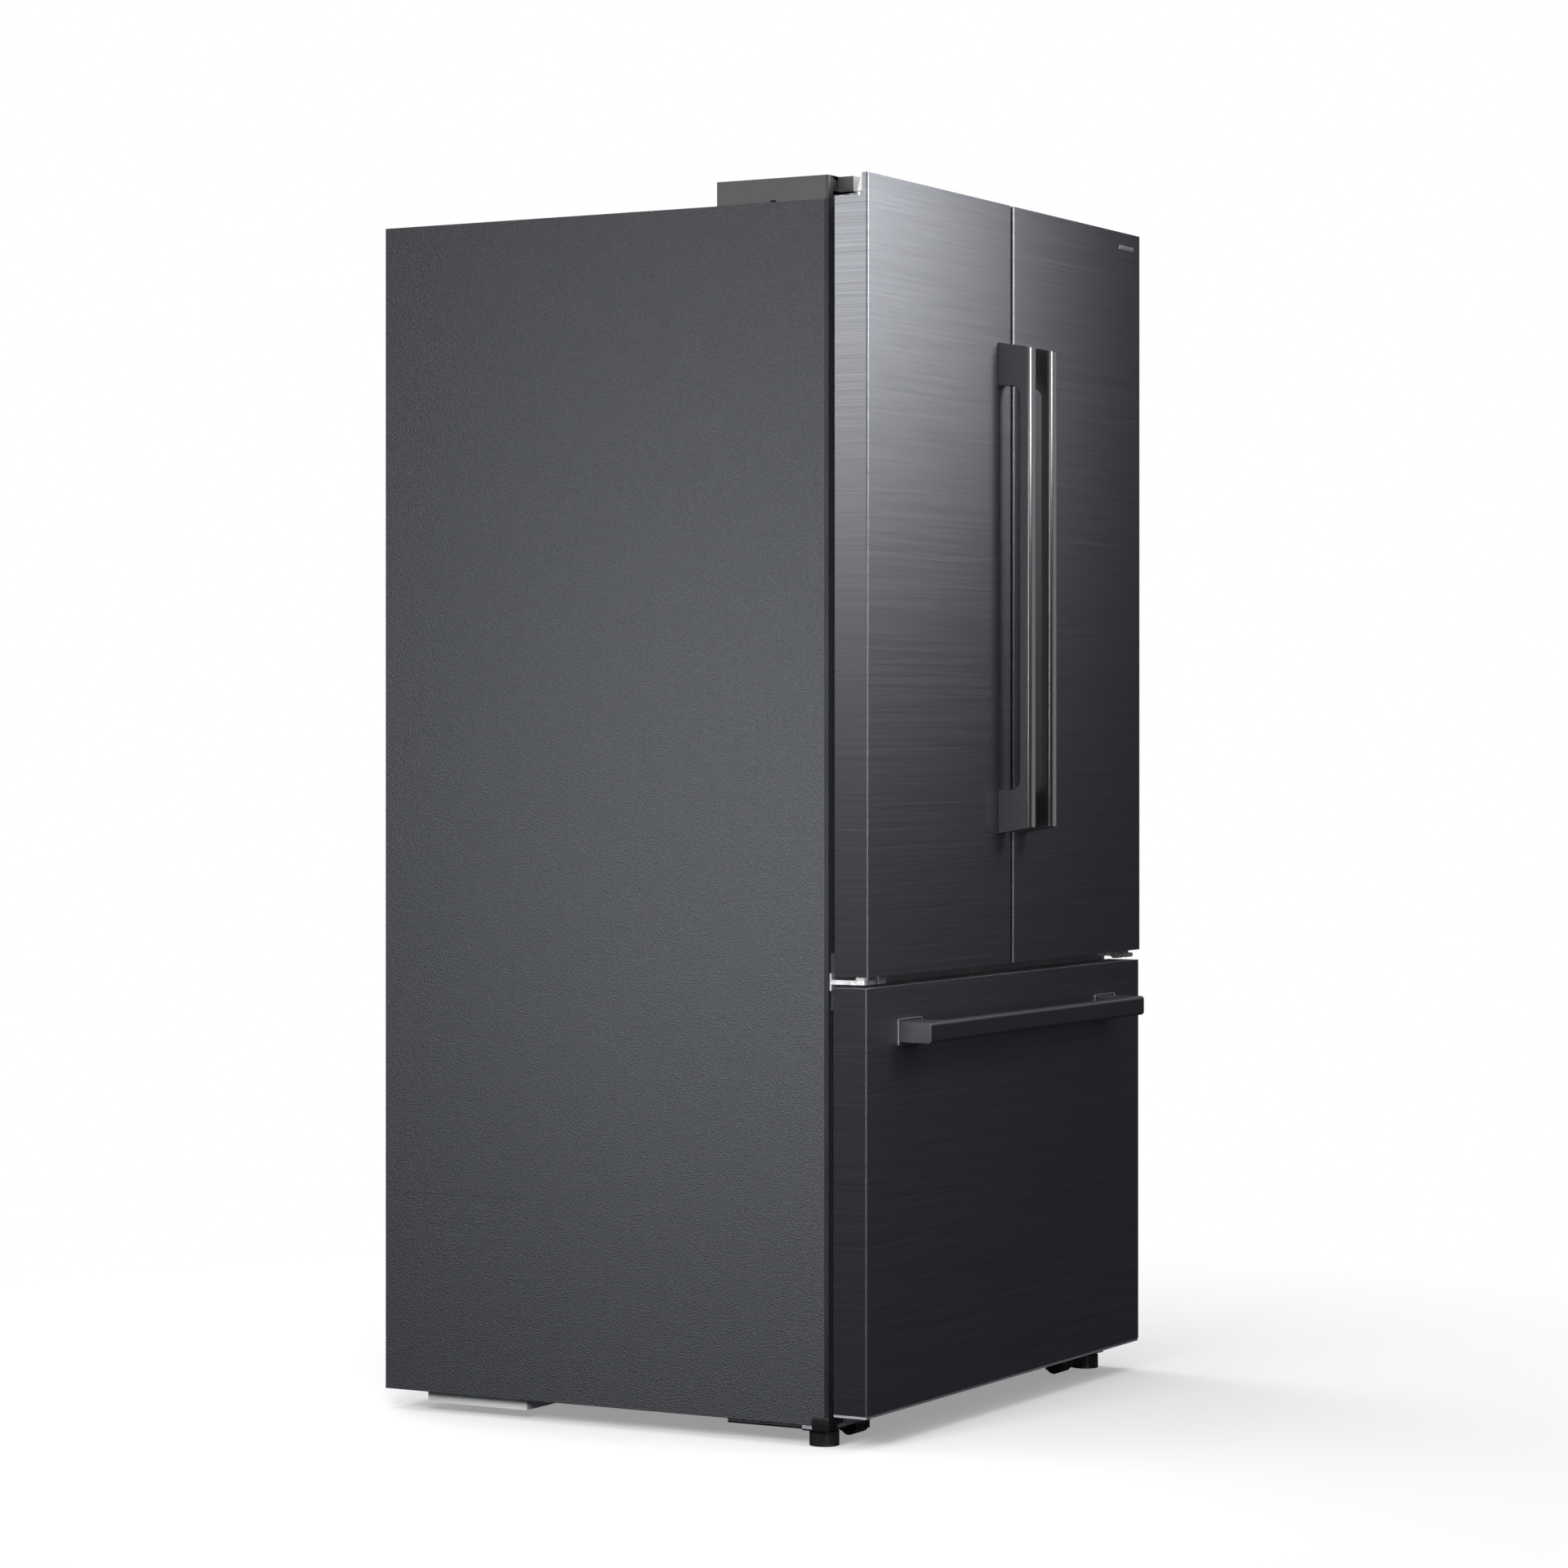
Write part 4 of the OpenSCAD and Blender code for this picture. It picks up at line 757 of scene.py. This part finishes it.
def notch_faces():
    """The drafted rib behind each notch's lip, and a pale plate on the front of the cover's nose,
    which is a painted highlight.
    """
    rib = ((8.8, 6.5), (20.3, 6.5), (14.8, 30.4), (8.8, 30.4))
    nose = ((37.7, 9.5), (38.2, 9.5), (38.2, 30), (37.7, 30))
    for name, side in SIDES:
        mesh_piece(
            f"lip_rib_{name}", lambda work: prism(work, side, (7, 9), rib, 0.2),
            PALE_CAP_AND_HIGHLIGHT, f"{name}_door",
        )
        # The nose plate's pale colour is a painted highlight on the front face of the cover's nose.
        mesh_piece(
            f"nose_face_{name}", lambda work: prism(work, side, (29, 69.5), nose, 0.2),
            PALE_CAP_AND_HIGHLIGHT, "cabinet",
        )


def top_screws():
    """Screws in the hinge covers and plugs in the doors' tops."""
    for name, side in SIDES:
        cover_low, cover_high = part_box(f"hinge_cover_{name}")
        middle = (cover_low.x + cover_high.x) / 2

        def cover_build(work):
            for back in (45 * MM, 150 * MM):
                lathe(
                    work, (middle, cabinet_front + back, cover_high.z - 0.1 * MM),
                    (0, 0, 1), scaled(PAN_HEAD, 1, 0.4),
                )
        mesh_piece(
            f"cover_screws_{name}", cover_build, FINISHES["black_plastic"], "cabinet",
        )

        def plug_build(work):
            for place in (170, 330):
                lathe(
                    work, (side * (half_w - place * MM), door_front + 26 * MM, door_top - 0.1 * MM),
                    (0, 0, 1), ((0, 0.5), (5, 0.6), (6.5, 0.5), (7, 0), (7, -1)), 28,
                )
        mesh_piece(
            f"cap_plugs_{name}", plug_build, FINISHES["cap_grey"], f"{name}_door"
        )


def gasket_folds():
    """Folds along the outer and inner edges of the three gaskets."""
    seal_w = 18 * MM
    for node, body in (
        ("door_gasket_left", "left_door"), ("door_gasket_right", "right_door"),
        ("freezer_gasket", "freezer_drawer"),
    ):
        low_corner, high_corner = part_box(node)

        def build(work):
            for inset in (0, seal_w):
                for back in (2.4, 5.0, 7.6):
                    sweep(
                        work,
                        frame_path(
                            low_corner.x + inset, low_corner.z + inset,
                            high_corner.x - inset, high_corner.z - inset,
                            low_corner.y + back * MM,
                        ),
                        rounded(2.4, 1.7, 0.8, 3), (0, 1, 0), True,
                    )
        mesh_piece(f"{node}_folds", build, FINISHES["seal_rubber"], body, 60)


def shelf_trims():
    """Satin bars along the fronts of the shelves and of the door bins."""
    frames_low, frames_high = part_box("shelf_frames")
    frame_h, inner_x = 16 * MM, 5 * MM
    levels = (frames_low.z, frames_low.z + 249 * MM, frames_high.z - frame_h)

    def build(work):
        for level in levels:
            for _, side in SIDES:
                level_bar(
                    work, side * inner_x, side * frames_high.x, frames_low.y - 1.3 * MM,
                    level + frame_h / 2, rounded(11, 3, 1.4),
                )
    mesh_piece("shelf_front_trims", build, TRIM, "cabinet")

    bin_h, bin_rise = 95 * MM, 325 * MM
    for name, side in SIDES:
        bins_low, bins_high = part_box(f"door_bins_{name}")
        tops = [bins_low.z + bin_h, bins_low.z + bin_rise + bin_h]
        if name == "left":
            tops.append(bins_high.z)

        def bin_build(work):
            for top in tops:
                level_bar(
                    work, bins_low.x, bins_high.x, bins_high.y + 0.5 * MM, top - 9 * MM,
                    rounded(10, 1.8, 0.8),
                )
        mesh_piece(f"bin_trims_{name}", bin_build, TRIM, f"{name}_door")

        crisper_low, crisper_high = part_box(f"crisper_{name}")
        mesh_piece(
            f"crisper_trim_{name}",
            lambda work: level_bar(
                work, crisper_low.x, crisper_high.x, crisper_low.y - 0.8 * MM,
                crisper_high.z - 5 * MM, rounded(9, 2.4, 1.1),
            ),
            FINISHES["white_plastic"], f"{name}_crisper",
        )


def control_buttons():
    """Five plain buttons, each with its lamp, and the lamp lenses."""
    panel_low, panel_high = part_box("control_panel")
    pitch = 22 * MM

    def button_build(work):
        for column in range(-2, 3):
            lathe(
                work, (pitch * column, panel_low.y + 2.9 * MM, panel_low.z + 13 * MM),
                (0, -1, 0), ((0, 2.4), (2.5, 2.3), (4.1, 1.9), (4.6, 1.2), (4.6, 0)), 28,
            )
    mesh_piece(
        "control_buttons", button_build, FINISHES["white_plastic"], "cabinet"
    )

    def lamp_build(work):
        for column in range(-2, 3):
            lathe(
                work, (pitch * column, panel_low.y + 0.1 * MM, panel_low.z + 21 * MM),
                (0, -1, 0), ((0, 0.6), (0.7, 0.5), (1.1, 0), (1.1, -0.5)), 14,
            )
    mesh_piece("control_lamps", lamp_build, LENS, "cabinet")

    def lens_build(work):
        wide, deep = 110 * MM, 90 * MM
        front = panel_high.y + 40 * MM
        ceiling, margin = panel_high.z, 8 * MM
        block(
            work, (-wide, front, ceiling - 9 * MM), (wide, front + deep, ceiling + 0.5 * MM),
            4 * MM,
        )
        for rib in range(-4, 5):
            block(
                work, (rib * pitch - 1 * MM, front + margin, ceiling - 9.8 * MM),
                (rib * pitch + 1 * MM, front + deep - margin, ceiling - 8 * MM), 0.4 * MM, 2,
            )
    mesh_piece("fridge_lamp_lens", lens_build, LENS, "cabinet")


def back_details():
    """Screws, bumpers, the water inlet's collar and the cord's blind grommet."""
    panel_low, panel_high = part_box("back_panel")
    cover_low, cover_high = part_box("machine_cover")
    sheet_y = cabinet_back - 0.1 * MM
    black, inset, service_in = FINISHES["black_plastic"], 14 * MM, 84 * MM

    def screw_build(work):
        span = panel_high.z - panel_low.z - 2 * inset
        rows = [panel_low.z + inset + span * k / 8 for k in range(9)]
        places = [(side * (half_w - 16 * MM), z) for side in (-1, 1) for z in rows]
        places += [(x * 145 * MM, z) for x in range(-2, 3) for z in (rows[0], rows[-1])]
        places += [
            (x * MM, z) for x in (-430, -210, 0, 210, 430)
            for z in (cover_low.z + inset, cover_high.z - 12 * MM)
        ]
        for x, z in places:
            lathe(work, (x, sheet_y, z), (0, 1, 0), scaled(WASHER_HEAD, 1, 0.6))
    mesh_piece("back_screws", screw_build, FINISHES["hinge_nickel"], "cabinet")

    inlet = (service_in - half_w, cabinet_back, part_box("water_valve")[0].z + 190 * MM)
    collar = ((7.2, -1), (7.2, 0.8), (8.4, 1.2), (13, 1.0), (15, 0.2), (15, -1), (7.2, -1))
    mesh_piece(
        "inlet_collar", lambda work: lathe(work, inlet, (0, 1, 0), collar, 32),
        black, "cabinet",
    )

    outlet = (half_w - service_in, sheet_y, cover_low.z + 170 * MM)
    grommet = ((0, 0.6), (5.5, 0.6), (6.2, 2.4), (8.5, 2.6), (10.5, 1.8), (12, 0), (12, -1))
    mesh_piece(
        "cord_grommet", lambda work: lathe(work, outlet, (0, 1, 0), grommet, 32),
        black, "cabinet",
    )

    def bumper_build(work):
        for side in (-1, 1):
            lathe(
                work, (side * (half_w - 40 * MM), sheet_y, panel_high.z - 40 * MM), (0, 1, 0),
                ((0, 4.4), (6, 4.2), (9, 3.4), (10.5, 1.4), (11, 0), (11, -1)), 32,
            )
    mesh_piece("back_bumpers", bumper_build, FINISHES["seal_rubber"], "cabinet")


def back_seams():
    """Rolled rims round the back's pressed beads, and the machine cover's upper fold."""
    cover_low, cover_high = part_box("machine_cover")
    bead_x, bead_h = half_w - 136 * MM, 26 * MM

    def rim_build(work):
        for row in range(3):
            foot = cabinet_top - (500 + 340 * row) * MM
            sweep(
                work, frame_path(-bead_x, foot, bead_x, foot + bead_h, cabinet_back + 0.2 * MM),
                rounded(3.2, 1.6, 0.7), (0, 1, 0), True,
            )
    mesh_piece("back_bead_rims", rim_build, FINISHES["zinc_steel"], "cabinet")
    mesh_piece(
        "machine_cover_fold",
        lambda work: block(
            work, (cover_low.x, cabinet_back - 0.5 * MM, cover_high.z - 3 * MM),
            (cover_high.x, cabinet_back + 1.2 * MM, cover_high.z + 4 * MM), 0.8 * MM,
        ),
        FINISHES["zinc_steel"], "cabinet",
    )


def hinge_washers():
    """Nylon washers under the upper doors, and the mid hinges' screws."""
    pin_x, pin_y = half_w - 22 * MM, door_front + 20 * MM
    arm_top = door_low - 5 * MM

    def washer_build(work):
        for side in (-1, 1):
            lathe(
                work, (side * pin_x, pin_y, arm_top), (0, 0, 1),
                ((5.3, 0), (8.6, 0), (9, 0.6), (9, 3.9), (8.6, 4.6), (5.3, 4.6), (5.3, 0)), 32,
            )
    mesh_piece("hinge_washers", washer_build, NYLON, "cabinet")

    def screw_build(work):
        for side in (-1, 1):
            lathe(
                work, (side * (pin_x - 5 * MM), pin_y + 11 * MM, arm_top + 0.9 * MM), (0, 0, 1),
                scaled(PAN_HEAD, 0.7, 0.5),
            )
    mesh_piece("mid_hinge_screws", screw_build, FINISHES["hinge_nickel"], "cabinet")


def light_only(light, names):
    """Keeps a lamp's light on the named objects."""
    lit = bpy.data.collections.new(f"{light.name}_lit")
    for name in names:
        lit.objects.link(nodes[name] if name in nodes else bpy.data.objects[name])
    light.light_linking.receiver_collection = lit


badge()
cabinet_edges()
corner_blocks()
freezer_highlight_rims()
notch_ribs()
notch_faces()
top_screws()
gasket_folds()
shelf_trims()
control_buttons()
back_details()
back_seams()
hinge_washers()
light_only(bar_key, ("handle_left", "handle_right"))
light_only(cap_key, ("notch_wall_left", "lip_rib_left", "nose_face_left"))
